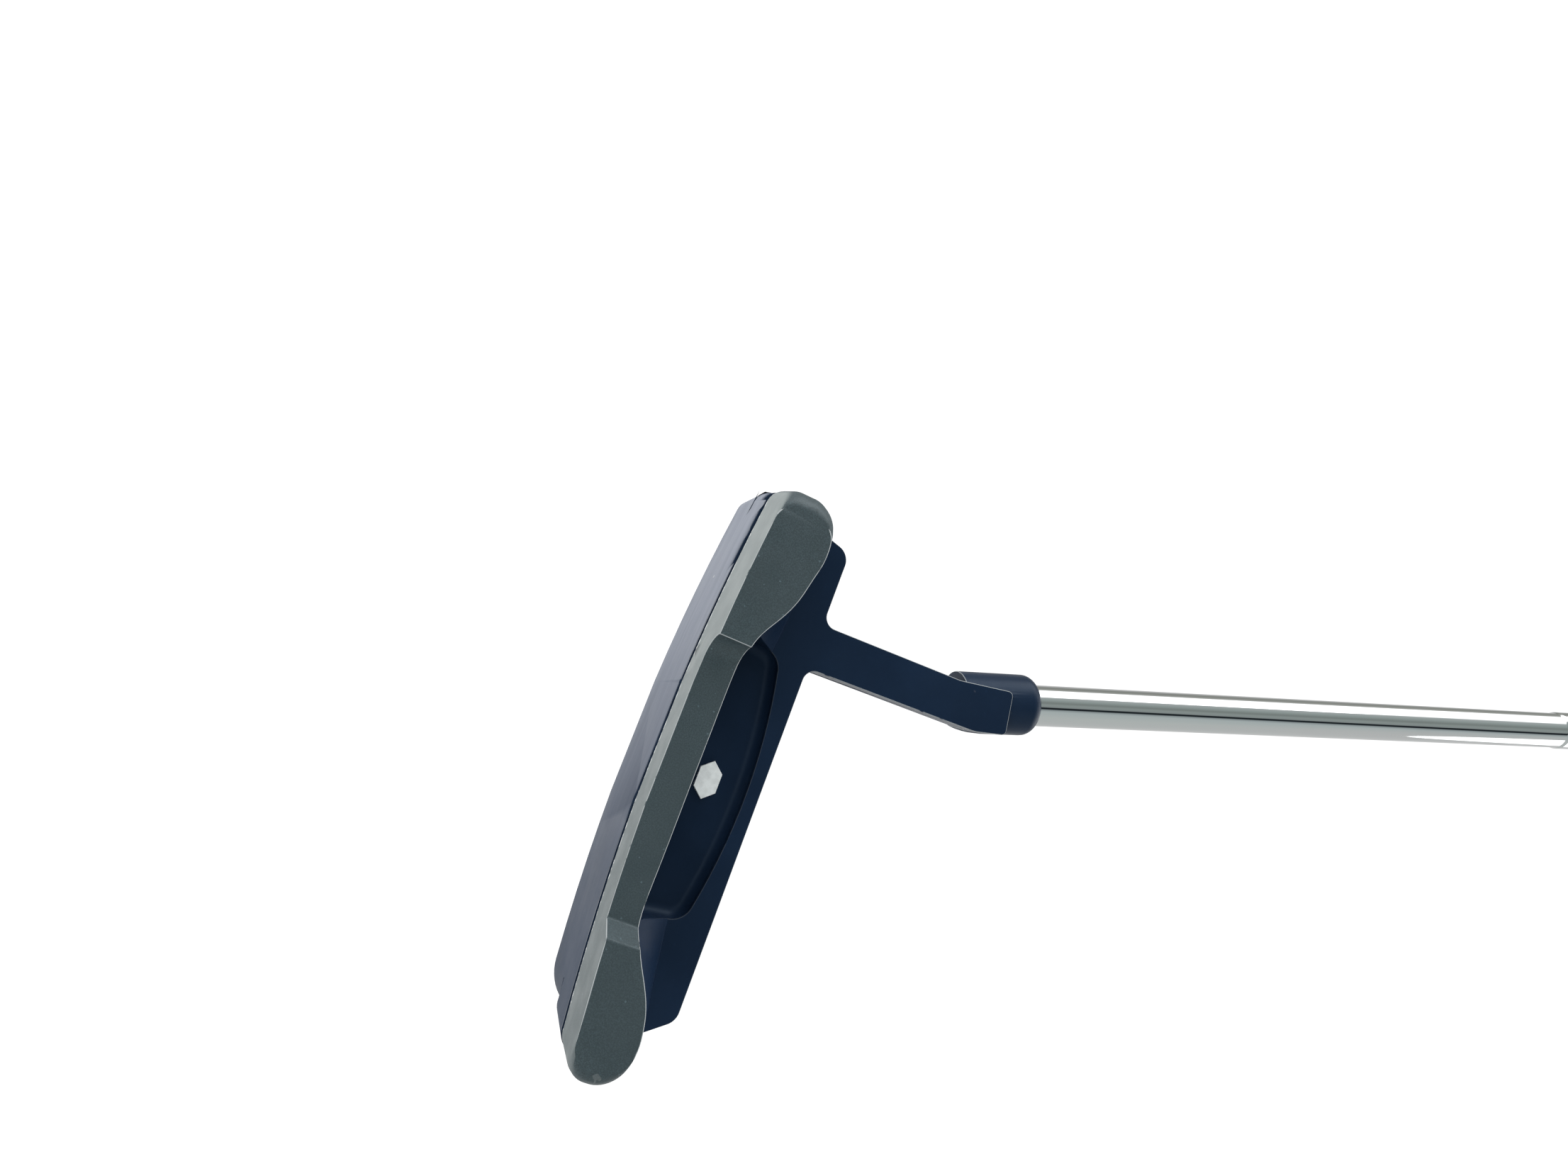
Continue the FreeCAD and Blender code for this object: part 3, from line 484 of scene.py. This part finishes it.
def grey_blast(name, head, worn):
    """Bead-blasted grey finish, paler on the sole, which is partly rubbed and partly a painted
    reflection fading from heel to toe; worn is how far the edge is rubbed bright."""
    finish = Finish(name, metal=0.2)
    finish.set(Specular_IOR_Level=0.4)
    deep = Vector(head.grey)
    speckle = finish.between(finish.grain(3600, 3, 0.75), 0.38, 0.66)
    base = finish.mix(speckle, tuple(deep * 0.78), tuple(deep * 1.25))
    clouds = finish.between(finish.grain(60, 4, 0.6), 0.35, 0.70, 0.0, 0.45)
    base = finish.mix(clouds, base, tuple(deep * 0.80))
    specks = finish.between(finish.cells(420), 0.10, 0.05, 0.0, 0.45)
    base = finish.mix(specks, base, tuple(deep * 3.0))
    # Painted reflection as well as rubbing: the down-facing sole turns paler grey, strongest at the
    # heel and fading towards the toe.
    sole = finish.times(finish.facing_down(0.45, 0.80), finish.low())
    fade = finish.between(finish.axis("X"), -50 * MM, 52 * MM, 0.95, 0.30)
    base = finish.mix(finish.times(sole, fade), base, tuple(head.grey_sole_and_sheen))
    stain = finish.between(finish.grain(120, 5, 0.7), 0.66, 0.80, 0.0, 0.5)
    base = finish.mix(stain, base, (0.075, 0.070, 0.060))
    marks = scuffs(finish, finish.between(sole, 0.0, 1.0, 0.1, 0.6))
    base = finish.mix(marks, base, (0.55, 0.56, 0.56))
    rim = finish.between(finish.axis("Y"), SEAM_REAR_Y - 0.8 * MM, SEAM_REAR_Y - 0.25 * MM)
    nicks = finish.between(finish.grain(950, 4, 0.7), 0.46, 0.58)
    base = finish.mix(finish.times(rim, nicks), base, (0.62, 0.64, 0.64))
    if worn > 0:
        rub = finish.grain(330, 4, 0.6)
        bare = finish.between(rub, 0.60 - 0.36 * worn, 0.72 - 0.36 * worn)
        base = finish.mix(bare, base, tuple(head.worn))
    finish.paint(base)
    rough = head.grey_rough
    finish.roughen(finish.between(finish.grain(160, 3), 0.3, 0.7, rough - 0.06, rough + 0.08))
    finish.bump(finish.grain(4200, 3, 0.6), 0.00003, 0.55)
    return finish.material


def bond_resin(head):
    """Dark cured bond, slightly lumpy."""
    finish = Finish("seam_bond_resin", tuple(head.bond), 0.55)
    lumps = finish.grain(900, 4)
    finish.paint(finish.mix(lumps, tuple(Vector(head.bond) * 0.6), tuple(Vector(head.bond) * 1.6)))
    finish.bump(lumps, 0.0001, 0.6)
    return finish.material


def chrome_plate(shaft):
    """Bright plating with faint smudges and a few pits."""
    rough = shaft.chrome_rough
    finish = Finish("shaft_plate", tuple(shaft.chrome), rough, 1.0)
    smudge = finish.between(finish.grain(45, 5, 0.65), 0.50, 0.75)
    finish.roughen(finish.between(smudge, 0.0, 1.0, rough, rough + 0.10))
    tint = finish.mix(smudge, tuple(shaft.chrome), tuple(Vector(shaft.chrome) * 0.93))
    pits = finish.between(finish.cells(95), 0.028, 0.016)
    finish.paint(finish.mix(pits, tint, (0.30, 0.22, 0.14)))
    finish.bump(finish.grain(300, 2), 0.000004, 0.15)
    return finish.material


def moulded_rubber(grip):
    """Matt moulded rubber with fine grain and uneven gloss."""
    rough = grip.rubber_rough
    finish = Finish("grip_moulded_rubber", tuple(grip.rubber), rough)
    deep = Vector(grip.rubber)
    clouds = finish.between(finish.grain(55, 4), 0.35, 0.70)
    finish.paint(finish.mix(clouds, tuple(deep * 0.85), tuple(deep * 1.5)))
    finish.roughen(finish.between(clouds, 0.0, 1.0, rough - 0.08, rough + 0.08))
    finish.bump(finish.grain(2600, 3, 0.7), 0.00006, 0.5)
    return finish.material


def plain_grained(name, base, rough, scale, metal=0.0):
    """A small part's own finish: mottled colour, uneven gloss and fine grain."""
    base = tuple(base)
    finish = Finish(name, base, rough, metal)
    deep = Vector(base)
    mottle = finish.between(finish.grain(scale * 0.2, 4, 0.6), 0.3, 0.7)
    finish.paint(finish.mix(mottle, tuple(deep * 0.86), tuple(deep * 1.08)))
    finish.roughen(finish.between(mottle, 0.0, 1.0, max(rough - 0.07, 0.03), min(rough + 0.07, 1.0)))
    finish.bump(finish.grain(scale, 3), 0.00003, 0.4)
    return finish.material


# ---------------------------------------------------------------- mesh tools


def held(value):
    """A number held between 0 and 1."""
    return min(max(value, 0.0), 1.0)


def put_in_scene(name, data):
    """A new object in the scene."""
    thing = bpy.data.objects.new(name, data)
    bpy.context.scene.collection.objects.link(thing)
    return thing


def show_as(name, mesh, materials, nodes):
    """Puts a finished mesh in the scene in place of its CAD nodes."""
    piece = put_in_scene(name, mesh)
    for material in materials:
        mesh.materials.append(material)
    for face in mesh.polygons:
        face.use_smooth = True
    mesh.set_sharp_from_angle(angle=SHADE_ANGLE)
    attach(piece, ROOT)
    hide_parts(*nodes)
    return piece


def level_normals(piece):
    """Keeps large faces flat where small rounds meet them."""
    modifier = piece.modifiers.new("flat faces", "WEIGHTED_NORMAL")
    modifier.mode = "FACE_AREA"
    modifier.weight = 60
    modifier.keep_sharp = True


def soften(piece, width):
    """Rounds a piece's sharp edges with a bevel."""
    modifier = piece.modifiers.new("edge rounds", "BEVEL")
    modifier.width = width
    modifier.segments = 2
    modifier.limit_method = "ANGLE"
    modifier.angle_limit = BEVEL_ANGLE
    level_normals(piece)


def dress_node(name, material, width=0.0):
    """Gives a CAD node that stays its finish and small edge rounds."""
    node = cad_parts[name]
    node.data.materials.clear()
    node.data.materials.append(material)
    if width:
        soften(node, width)
    return node


def cad_copy(name):
    """A CAD node's shape as an editable mesh with its flat faces made whole."""
    work = bmesh.new()
    work.from_mesh(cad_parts[name].data)
    bmesh.ops.remove_doubles(work, verts=work.verts, dist=WELD)
    bmesh.ops.dissolve_limit(
        work, angle_limit=FLAT_ANGLE, verts=work.verts, edges=work.edges, delimit=set()
    )
    return work


def sharp_edges(work, wanted):
    """The edges where two faces meet at an angle and that the test wants."""
    return [
        edge
        for edge in work.edges
        if edge.is_manifold and edge.calc_face_angle(0) > SHARP_ANGLE and wanted(edge)
    ]


def round_off(work, edges, radius, segments, mark):
    """Rounds edges; the new faces take the material with that number."""
    bmesh.ops.bevel(
        work,
        geom=edges,
        offset=radius,
        offset_type="OFFSET",
        segments=segments,
        profile=0.5,
        affect="EDGES",
        clamp_overlap=False,
        material=mark,
        loop_slide=True,
    )


def to_mesh(work, name):
    """The edited mesh as a data block."""
    mesh = bpy.data.meshes.new(name)
    bmesh.ops.recalc_face_normals(work, faces=work.faces)
    work.to_mesh(mesh)
    work.free()
    return mesh


def skin(rings):
    """A closed surface through rings of points; the last ring joins the first."""
    work = bmesh.new()
    rows = [[work.verts.new(point) for point in ring] for ring in rings]
    count = len(rows[0])
    for low, high in zip(rows, rows[1:] + rows[:1]):
        for i in range(count):
            j = (i + 1) % count
            work.faces.new((low[i], low[j], high[j], high[i]))
    return work


def circle(radius, height, sides):
    """A ring of points about Z."""
    turn = 2 * math.pi / sides
    return [
        Vector((radius * math.cos(turn * i), radius * math.sin(turn * i), height))
        for i in range(sides)
    ]


def on_shaft_axis():
    """The frame at the hosel's mouth with Z up the shaft."""
    return Matrix.Translation(MOUTH) @ Matrix.Rotation(AXIS_TILT, 4, "Y")


def off_plane(edge, plane_y, reach):
    """True for an edge further than reach from a plane square to Y."""
    return all(abs(vert.co.y - plane_y) > reach for vert in edge.verts)


def ragged(place, size):
    """How far a chip bites at a place: mostly nothing, now and then a nick."""
    fine = noise.noise(Vector(place) * FINE_NICKS)
    coarse = noise.noise(Vector(place) * COARSE_NICKS + NICK_SHIFT)
    return size * max(0.0, 0.35 * fine + 0.25 + max(0.0, coarse) * 0.9)


def chip_edge(work, plane_y, direction, head):
    """Divides the edges in a plane square to Y finely and nicks them unevenly."""

    def in_plane(edge):
        return all(abs(vert.co.y - plane_y) < IN_PLANE for vert in edge.verts)

    for edge in sharp_edges(work, in_plane):
        cuts = int(edge.calc_length() / head.chip_pitch)
        if cuts:
            bmesh.ops.subdivide_edges(work, edges=[edge], cuts=cuts)
    for vert in {vert for edge in sharp_edges(work, in_plane) for vert in edge.verts}:
        vert.co.y += direction * ragged(vert.co, head.chip_size)


# ---------------------------------------------------------------- pieces


class PutterOperator:
    """What every operator here shares."""

    bl_options = {"REGISTER"}

    def execute(self, context):
        """Builds the piece and stops with an error if nothing came of it."""
        made = self.build(context.scene.putter)
        if not made:
            raise RuntimeError(f"{self.bl_idname} built nothing")
        return {"FINISHED"}


class PUTTER_OT_front_body(PutterOperator, bpy.types.Operator):
    """Finish the black front body: face, blade, scoop, neck and hosel"""

    bl_idname = "putter.front_body"
    bl_label = "Front body"

    def build(self, putter):
        head = putter.head
        work = cad_copy("front_body")
        self.draft_neck(work)
        chip_edge(work, SEAM_FRONT_Y, 1, head)
        mark_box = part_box("rear_mark")
        edges = sharp_edges(work, lambda edge: self.handled_edge(edge, head, mark_box))
        round_off(work, edges, head.edge_round, 2, RUBBED)
        # Upward faces behind the blade take the less glossy copy of the paint: painted shade that
        # dims their reflection.
        for face in work.faces:
            if face.calc_center_median().y < BLADE_BACK_Y and face.normal.z > PAINTED_SHADE_SLOPE:
                face.material_index = PAINTED_SHADE
        mesh = to_mesh(work, "front_body_casting")
        finishes = [
            black_paint("black_paint", head, 0),
            black_paint("black_paint_rubbed", head, head.wear),
            # The third copy reflects less: painted shade for the upward faces behind the blade.
            black_paint("black_paint_shaded", head, 0, 0.05),
        ]
        piece = show_as("front_body_casting", mesh, finishes, ["front_body"])
        level_normals(piece)
        return piece

    def handled_edge(self, edge, head, mark_box):
        """True for an edge that wears round: not the seam's and not inside the scoop."""
        centre = (edge.verts[0].co + edge.verts[1].co) / 2
        clear = CHIP_CLEARANCE * head.chip_size
        return not self.in_scoop(centre, mark_box) and off_plane(edge, SEAM_FRONT_Y, clear)

    def in_scoop(self, point, mark_box):
        """True for a point in the scoop, which the mark's box places."""
        low, high = mark_box
        if not BLADE_BACK_Y + SCOOP_BEHIND_BLADE < point.y < high.y:
            return False
        return low.z - SCOOP_BELOW_MARK < point.z < SCOOP_TOP_Z and abs(point.x) < SCOOP_HALF_X

    def draft_neck(self, work):
        """Leans the neck's toe side in towards its front, as a casting's draft does."""
        for vert in work.verts:
            x, y, z = vert.co
            if z < BLADE_TOP_Z or x < NECK_DRAFT_X:
                continue
            forward = held((y - BLADE_BACK_Y) / (NECK_FRONT_Y - BLADE_BACK_Y))
            above_blade = held((z - BLADE_TOP_Z) / FADE_TO_BLADE)
            below_hosel = held((HOSEL_FOOT_Z - z) / FADE_TO_HOSEL)
            toeward = held((x - NECK_DRAFT_X) / FADE_TO_HEEL)
            vert.co.x -= NECK_DRAFT * forward * above_blade * below_hosel * toeward


class PUTTER_OT_rear_frame(PutterOperator, bpy.types.Operator):
    """Finish the grey rear weight frame with its chipped front edge"""

    bl_idname = "putter.rear_frame"
    bl_label = "Rear frame"

    def build(self, putter):
        head = putter.head
        work = cad_copy("rear_frame")
        chip_edge(work, SEAM_REAR_Y, -1, head)
        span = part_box("rear_frame")
        edges = sharp_edges(work, lambda edge: self.handled_edge(edge, head, span))
        round_off(work, edges, head.edge_round, 2, RUBBED)
        ramp_edges = sharp_edges(work, self.on_ramp)
        round_off(work, ramp_edges, RAMP_ROUND * head.edge_round, 3, PLAIN)
        mesh = to_mesh(work, "rear_frame_casting")
        finishes = [
            grey_blast("grey_blast", head, 0),
            grey_blast("grey_blast_rubbed", head, head.wear),
        ]
        piece = show_as("rear_frame_casting", mesh, finishes, ["rear_frame"])
        level_normals(piece)
        return piece

    def handled_edge(self, edge, head, span):
        """True for an edge that wears bright: not the seam's, the lobes' ends or the ramp's."""
        middle = (edge.verts[0].co.x + edge.verts[1].co.x) / 2
        low, high = span
        at_end = min(middle - low.x, high.x - middle) < LOBE_END
        clear = CHIP_CLEARANCE * head.chip_size
        return not at_end and not self.on_ramp(edge) and off_plane(edge, SEAM_REAR_Y, clear)

    def on_ramp(self, edge):
        """True for the upright edges of the waist's ramp."""
        first, last = edge.verts[0].co, edge.verts[1].co
        return RAMP_LOW_X < first.x < RAMP_HIGH_X and abs(first.z - last.z) > RAMP_MIN_RISE


class PUTTER_OT_seam(PutterOperator, bpy.types.Operator):
    """Finish the dark bond in the seam"""

    bl_idname = "putter.seam"
    bl_label = "Seam bond"

    def build(self, putter):
        return dress_node("seam_bond", bond_resin(putter.head))


class PUTTER_OT_face_insert(PutterOperator, bpy.types.Operator):
    """Finish the grooved face insert and the tape behind it"""

    bl_idname = "putter.face_insert"
    bl_label = "Face insert"

    def build(self, putter):
        trim = putter.trim
        work = cad_copy("face_insert")
        low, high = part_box("face_insert")
        bands = 2 * int((high.z - low.z) / trim.rib_pitch)
        for i in range(1, bands):
            height = low.z + (high.z - low.z) * i / bands
            for side in (-trim.rib_pitch / 8, trim.rib_pitch / 8):
                bmesh.ops.bisect_plane(
                    work,
                    geom=[*work.verts, *work.edges, *work.faces],
                    plane_co=(0, 0, height + side),
                    plane_no=(0, 0, 1),
                )
        grooves = [face for face in work.faces if self.is_groove(face, trim, low, high)]
        bmesh.ops.inset_individual(work, faces=grooves, thickness=trim.rib_side)
        for vert in {vert for face in grooves for vert in face.verts}:
            vert.co.y -= trim.rib_depth
        mesh = to_mesh(work, "face_insert_plate")
        finish = plain_grained("insert_polymer", trim.insert, 0.55, 1600)
        piece = show_as("face_insert_plate", mesh, [finish], ["face_insert"])
        dress_node("insert_tape", plain_grained("insert_tape_cloth", trim.tape, 0.85, 2200))
        return piece

    def is_groove(self, face, trim, low, high):
        """True for a face in every other band of the front, clear of the insert's ends."""
        centre = face.calc_center_median()
        band = int((centre.z - low.z) / (trim.rib_pitch / 2))
        inside = low.x + trim.rib_margin < centre.x < high.x - trim.rib_margin
        return face.normal.y > 0.99 and band % 2 == 1 and inside


class PUTTER_OT_rear_mark(PutterOperator, bpy.types.Operator):
    """Finish the plain raised mark and the sight line"""

    bl_idname = "putter.rear_mark"
    bl_label = "Rear mark and sight line"

    def build(self, putter):
        trim = putter.trim
        dress_node("sight_line", plain_grained("sight_line_paint", trim.line, 0.55, 2000))
        enamel = plain_grained("mark_enamel", trim.mark, 0.42, 2400)
        return dress_node("rear_mark", enamel, trim.mark_round)


class PUTTER_OT_fasteners(PutterOperator, bpy.types.Operator):
    """Finish the frame's screws and dowels"""

    bl_idname = "putter.fasteners"
    bl_label = "Fasteners"

    def build(self, putter):
        trim = putter.trim
        steel = plain_grained("fastener_steel", trim.steel, 0.32, 1500, 1.0)
        dress_node("dowel_pins", steel, trim.fastener_round)
        return dress_node("frame_screws", steel, trim.fastener_round)


class PUTTER_OT_shaft(PutterOperator, bpy.types.Operator):
    """Finish the stepped steel shaft, its epoxy and its foam plug"""

    bl_idname = "putter.shaft"
    bl_label = "Shaft"

    def build(self, putter):
        shaft = putter.shaft
        outer = [(shaft.tip_radius, -shaft.foot), (shaft.tip_radius, shaft.first_step / 2)]
        for step in range(shaft.steps):
            low = shaft.first_step + shaft.step_pitch * step
            radius = shaft.tip_radius + shaft.step_rise * step
            for along in STEP_POINTS:
                rise = along * along * (3 - 2 * along)
                outer.append((radius + shaft.step_rise * rise, low + shaft.step_ramp * along))
        butt_radius = shaft.tip_radius + shaft.step_rise * shaft.steps
        outer.append((butt_radius, shaft.butt))
        inner = [
            (butt_radius - shaft.wall, shaft.butt),
            (butt_radius - shaft.wall, shaft.first_step + shaft.step_pitch * shaft.steps),
            (shaft.tip_radius - shaft.wall, shaft.first_step),
            (shaft.tip_radius - shaft.wall, -shaft.foot),
        ]
        work = skin([circle(r, z, shaft.turns) for r, z in outer + inner])
        work.transform(on_shaft_axis())
        mesh = to_mesh(work, "shaft_tube")
        piece = show_as("shaft_tube", mesh, [chrome_plate(shaft)], ["shaft"])
        dress_node("shaft_epoxy", plain_grained("epoxy_resin", shaft.epoxy, 0.25, 700))
        dress_node("tip_plug", plain_grained("plug_foam", shaft.foam, 0.9, 2600))
        return piece


class PUTTER_OT_grip(PutterOperator, bpy.types.Operator):
    """Finish the moulded grip and the tape under it"""

    bl_idname = "putter.grip"
    bl_label = "Grip"

    def build(self, putter):
        grip, shaft = putter.grip, putter.shaft
        rings = [self.ring(grip, row / (grip.rows - 1), shaft.butt) for row in range(grip.rows)]
        bottom = shaft.butt - grip.grip_length
        rings.append(circle(grip.bore, shaft.butt, grip.sides))
        rings.append(circle(grip.bore, bottom, grip.sides))
        work = skin(rings)
        work.transform(on_shaft_axis())
        mesh = to_mesh(work, "grip_moulding")
        piece = show_as("grip_moulding", mesh, [moulded_rubber(grip)], ["grip"])
        dress_node("grip_tape", plain_grained("grip_tape_cloth", grip.tape, 0.85, 1800))
        return piece

    def ring(self, grip, along, butt):
        """One ring of the grip: a round back, a flat for the thumbs and moulded grooves."""
        wide = grip.tip_half_wide + (grip.butt_half_wide - grip.tip_half_wide) * along
        deep = grip.tip_half_deep + (grip.butt_half_deep - grip.tip_half_deep) * along
        height = butt - grip.grip_length * (1 - along)
        from_end = min(along, 1 - along) * grip.grip_length
        lip = 1 - END_TAPER * held(1 - from_end / grip.end_round) ** 2
        soft = grip.flat_round
        reach = deep - grip.flat - soft
        points = []
        for i in range(grip.sides):
            angle = 2 * math.pi * i / grip.sides
            forward, across = deep * math.cos(angle), wide * math.sin(angle)
            if forward > reach:
                forward = reach + soft * (1 - math.exp((reach - forward) / soft))
            cut = self.groove(grip, angle, across, height, from_end)
            scale = lip - cut / math.hypot(forward, across)
            points.append(Vector((forward * scale, across * scale, height)))
        return points

    def groove(self, grip, angle, across, height, from_end):
        """Depth of the pattern: fine grooves along the flat, slanted ones round the back."""
        fade = held((from_end - grip.plain_end) / PATTERN_FADE)
        facing = math.cos(angle)
        if facing > FLAT_FROM:
            wave = math.cos(2 * math.pi * across / grip.ridge_pitch)
            inside = held((grip.ridge_half - abs(across)) / RIDGE_FADE)
            return fade * inside * grip.groove_depth * 0.5 * max(0.0, wave) ** 2
        slant = abs(math.sin(angle)) * GROOVE_SLANT
        wave = math.cos(2 * math.pi * (height + slant) / grip.groove_pitch)
        back = held((BACK_FROM - facing) / BACK_FADE)
        return fade * back * grip.groove_depth * held((wave - 1) / GROOVE_SHARE + 1)


class PUTTER_OT_grip_cap(PutterOperator, bpy.types.Operator):
    """Finish the grip's butt cap with its vent"""

    bl_idname = "putter.grip_cap"
    bl_label = "Grip cap"

    def build(self, putter):
        grip = putter.grip
        return dress_node("grip_cap", moulded_rubber(grip), grip.cap_round)


class PUTTER_OT_stage(PutterOperator, bpy.types.Operator):
    """Add the pale floor, the soft light and the camera"""

    bl_idname = "putter.stage"
    bl_label = "Floor, light and camera"

    def build(self, putter):
        stage = putter.stage
        self.floor(stage)
        self.sky(stage)
        self.lamps(stage)
        scene = bpy.context.scene
        scene.view_settings.view_transform = "Standard"
        scene.camera = self.camera(stage)
        return scene.camera

    def floor(self, stage):
        """A wide pale floor below the club."""
        half = stage.floor_size / 2
        work = bmesh.new()
        corners = [(-half, -half), (half, -half), (half, half), (-half, half)]
        work.faces.new([work.verts.new((x, y, -stage.floor_drop)) for x, y in corners])
        mesh = to_mesh(work, "floor")
        paint = Finish("floor_paint", tuple(stage.floor_colour), 0.9)
        paint.set(Emission_Color=(1.0, 1.0, 1.0, 1.0), Emission_Strength=stage.floor_glow)
        paint.bump(paint.grain(900, 2), 0.00005, 0.2)
        mesh.materials.append(paint.material)
        put_in_scene("floor", mesh)

    def sky(self, stage):
        """Soft light all round: pale walls, a bright window on the heel's side and a bright
        ceiling; what the camera sees past the floor is plain white."""
        world = bpy.data.worlds.new("studio")
        world.use_nodes = True
        bpy.context.scene.world = world
        nodes = Nodes(world.node_tree)
        toward = nodes.parts(nodes.add("ShaderNodeTexCoord").outputs["Generated"])
        compass = nodes.maths("ARCTAN2", toward["X"], toward["Y"])
        turn = nodes.maths("ADD", nodes.maths("DIVIDE", compass, 2 * math.pi), 0.5)
        overhead = nodes.between(toward["Z"], *CEILING_EDGE)
        tone = nodes.mix(overhead, self.walls(nodes, turn), tuple(stage.ceiling))
        light = self.background(nodes, tone, stage.wall_light)
        backdrop = self.background(nodes, (1.0, 1.0, 1.0), stage.backdrop)
        choose = nodes.add("ShaderNodeMixShader")
        nodes.join(nodes.add("ShaderNodeLightPath").outputs["Is Camera Ray"], choose.inputs[0])
        nodes.join(light, choose.inputs[1])
        nodes.join(backdrop, choose.inputs[2])
        nodes.join(choose.outputs[0], nodes.add("ShaderNodeOutputWorld").inputs["Surface"])

    def background(self, nodes, tone, strength):
        """Light of one colour and strength from all round."""
        node = nodes.add("ShaderNodeBackground")
        nodes.feed(node.inputs["Color"], tone)
        nodes.feed(node.inputs["Strength"], strength)
        return node.outputs[0]

    def walls(self, nodes, turn):
        """The walls' colour; turn goes from 0 to 1 once round, with +Y at one half."""
        ramp = nodes.add("ShaderNodeValToRGB")
        nodes.join(turn, ramp.inputs[0])
        stops = ramp.color_ramp.elements
        for place, (angle, tone) in enumerate(WALL_TONES):
            at = angle / 360 + 0.5
            stop = stops[place] if place < 2 else stops.new(at)
            stop.position = at
            stop.color = (*tone, 1)
        return ramp.outputs[0]

    def lamps(self, stage):
        """A wide soft sun from straight above and a soft window on the heel's side."""
        sun = bpy.data.lights.new("overhead", "SUN")
        sun.energy = stage.sun_power
        sun.angle = stage.sun_spread
        put_in_scene("overhead", sun)
        window = bpy.data.lights.new("heel_window", "AREA")
        window.shape = "RECTANGLE"
        window.size, window.size_y = WINDOW_SIZE
        window.energy = stage.window_power
        lamp = put_in_scene("heel_window", window)
        lamp.location = WINDOW_PLACE
        lamp.rotation_euler = (WINDOW_TARGET - WINDOW_PLACE).to_track_quat("-Z", "Y").to_euler()

    def camera(self, stage):
        """The camera at its place, aimed and rolled."""
        ahead = CAMERA_AHEAD.normalized()
        right = ahead.cross(CAMERA_UP).normalized()
        turn = Matrix((right, right.cross(ahead), -ahead)).transposed().to_4x4()
        data = bpy.data.cameras.new("camera")
        data.lens = stage.lens
        data.sensor_width = 36
        data.clip_start, data.clip_end = 0.01, 100
        camera = put_in_scene("camera", data)
        camera.matrix_world = Matrix.Translation(CAMERA_PLACE) @ turn
        return camera


class PutterSettings(bpy.types.PropertyGroup):
    """All the club's settings."""

    head: PointerProperty(type=HeadSettings)
    trim: PointerProperty(type=TrimSettings)
    shaft: PointerProperty(type=ShaftSettings)
    grip: PointerProperty(type=GripSettings)
    stage: PointerProperty(type=StageSettings)


OPERATORS = (
    PUTTER_OT_front_body,
    PUTTER_OT_rear_frame,
    PUTTER_OT_seam,
    PUTTER_OT_face_insert,
    PUTTER_OT_rear_mark,
    PUTTER_OT_fasteners,
    PUTTER_OT_shaft,
    PUTTER_OT_grip,
    PUTTER_OT_grip_cap,
    PUTTER_OT_stage,
)
SETTINGS = (HeadSettings, TrimSettings, ShaftSettings, GripSettings, StageSettings, PutterSettings)


class PUTTER_PT_panel(bpy.types.Panel):
    """Lists the club's pieces and settings in the sidebar"""

    bl_idname = "PUTTER_PT_panel"
    bl_label = "Mallet putter"
    bl_space_type = "VIEW_3D"
    bl_region_type = "UI"
    bl_category = "Putter"

    def draw(self, context):
        """One button for each piece, then each group's values."""
        for operator in OPERATORS:
            self.layout.operator(operator.bl_idname)
        putter = context.scene.putter
        for name in ("head", "trim", "shaft", "grip", "stage"):
            box = self.layout.box()
            box.label(text=name.capitalize())
            group = getattr(putter, name)
            for key in group.__annotations__:
                box.prop(group, key)


CLASSES = (*SETTINGS, *OPERATORS, PUTTER_PT_panel)


def register():
    """Makes the settings, operators and panel known to Blender."""
    for kind in CLASSES:
        bpy.utils.register_class(kind)
    bpy.types.Scene.putter = PointerProperty(type=PutterSettings)


def unregister():
    """Takes everything out again, last first."""
    del bpy.types.Scene.putter
    for kind in reversed(CLASSES):
        bpy.utils.unregister_class(kind)


def main():
    """Builds the whole club."""
    register()
    for operator in OPERATORS:
        group, name = operator.bl_idname.split(".")
        getattr(getattr(bpy.ops, group), name)()


if __name__ == "__main__":
    main()
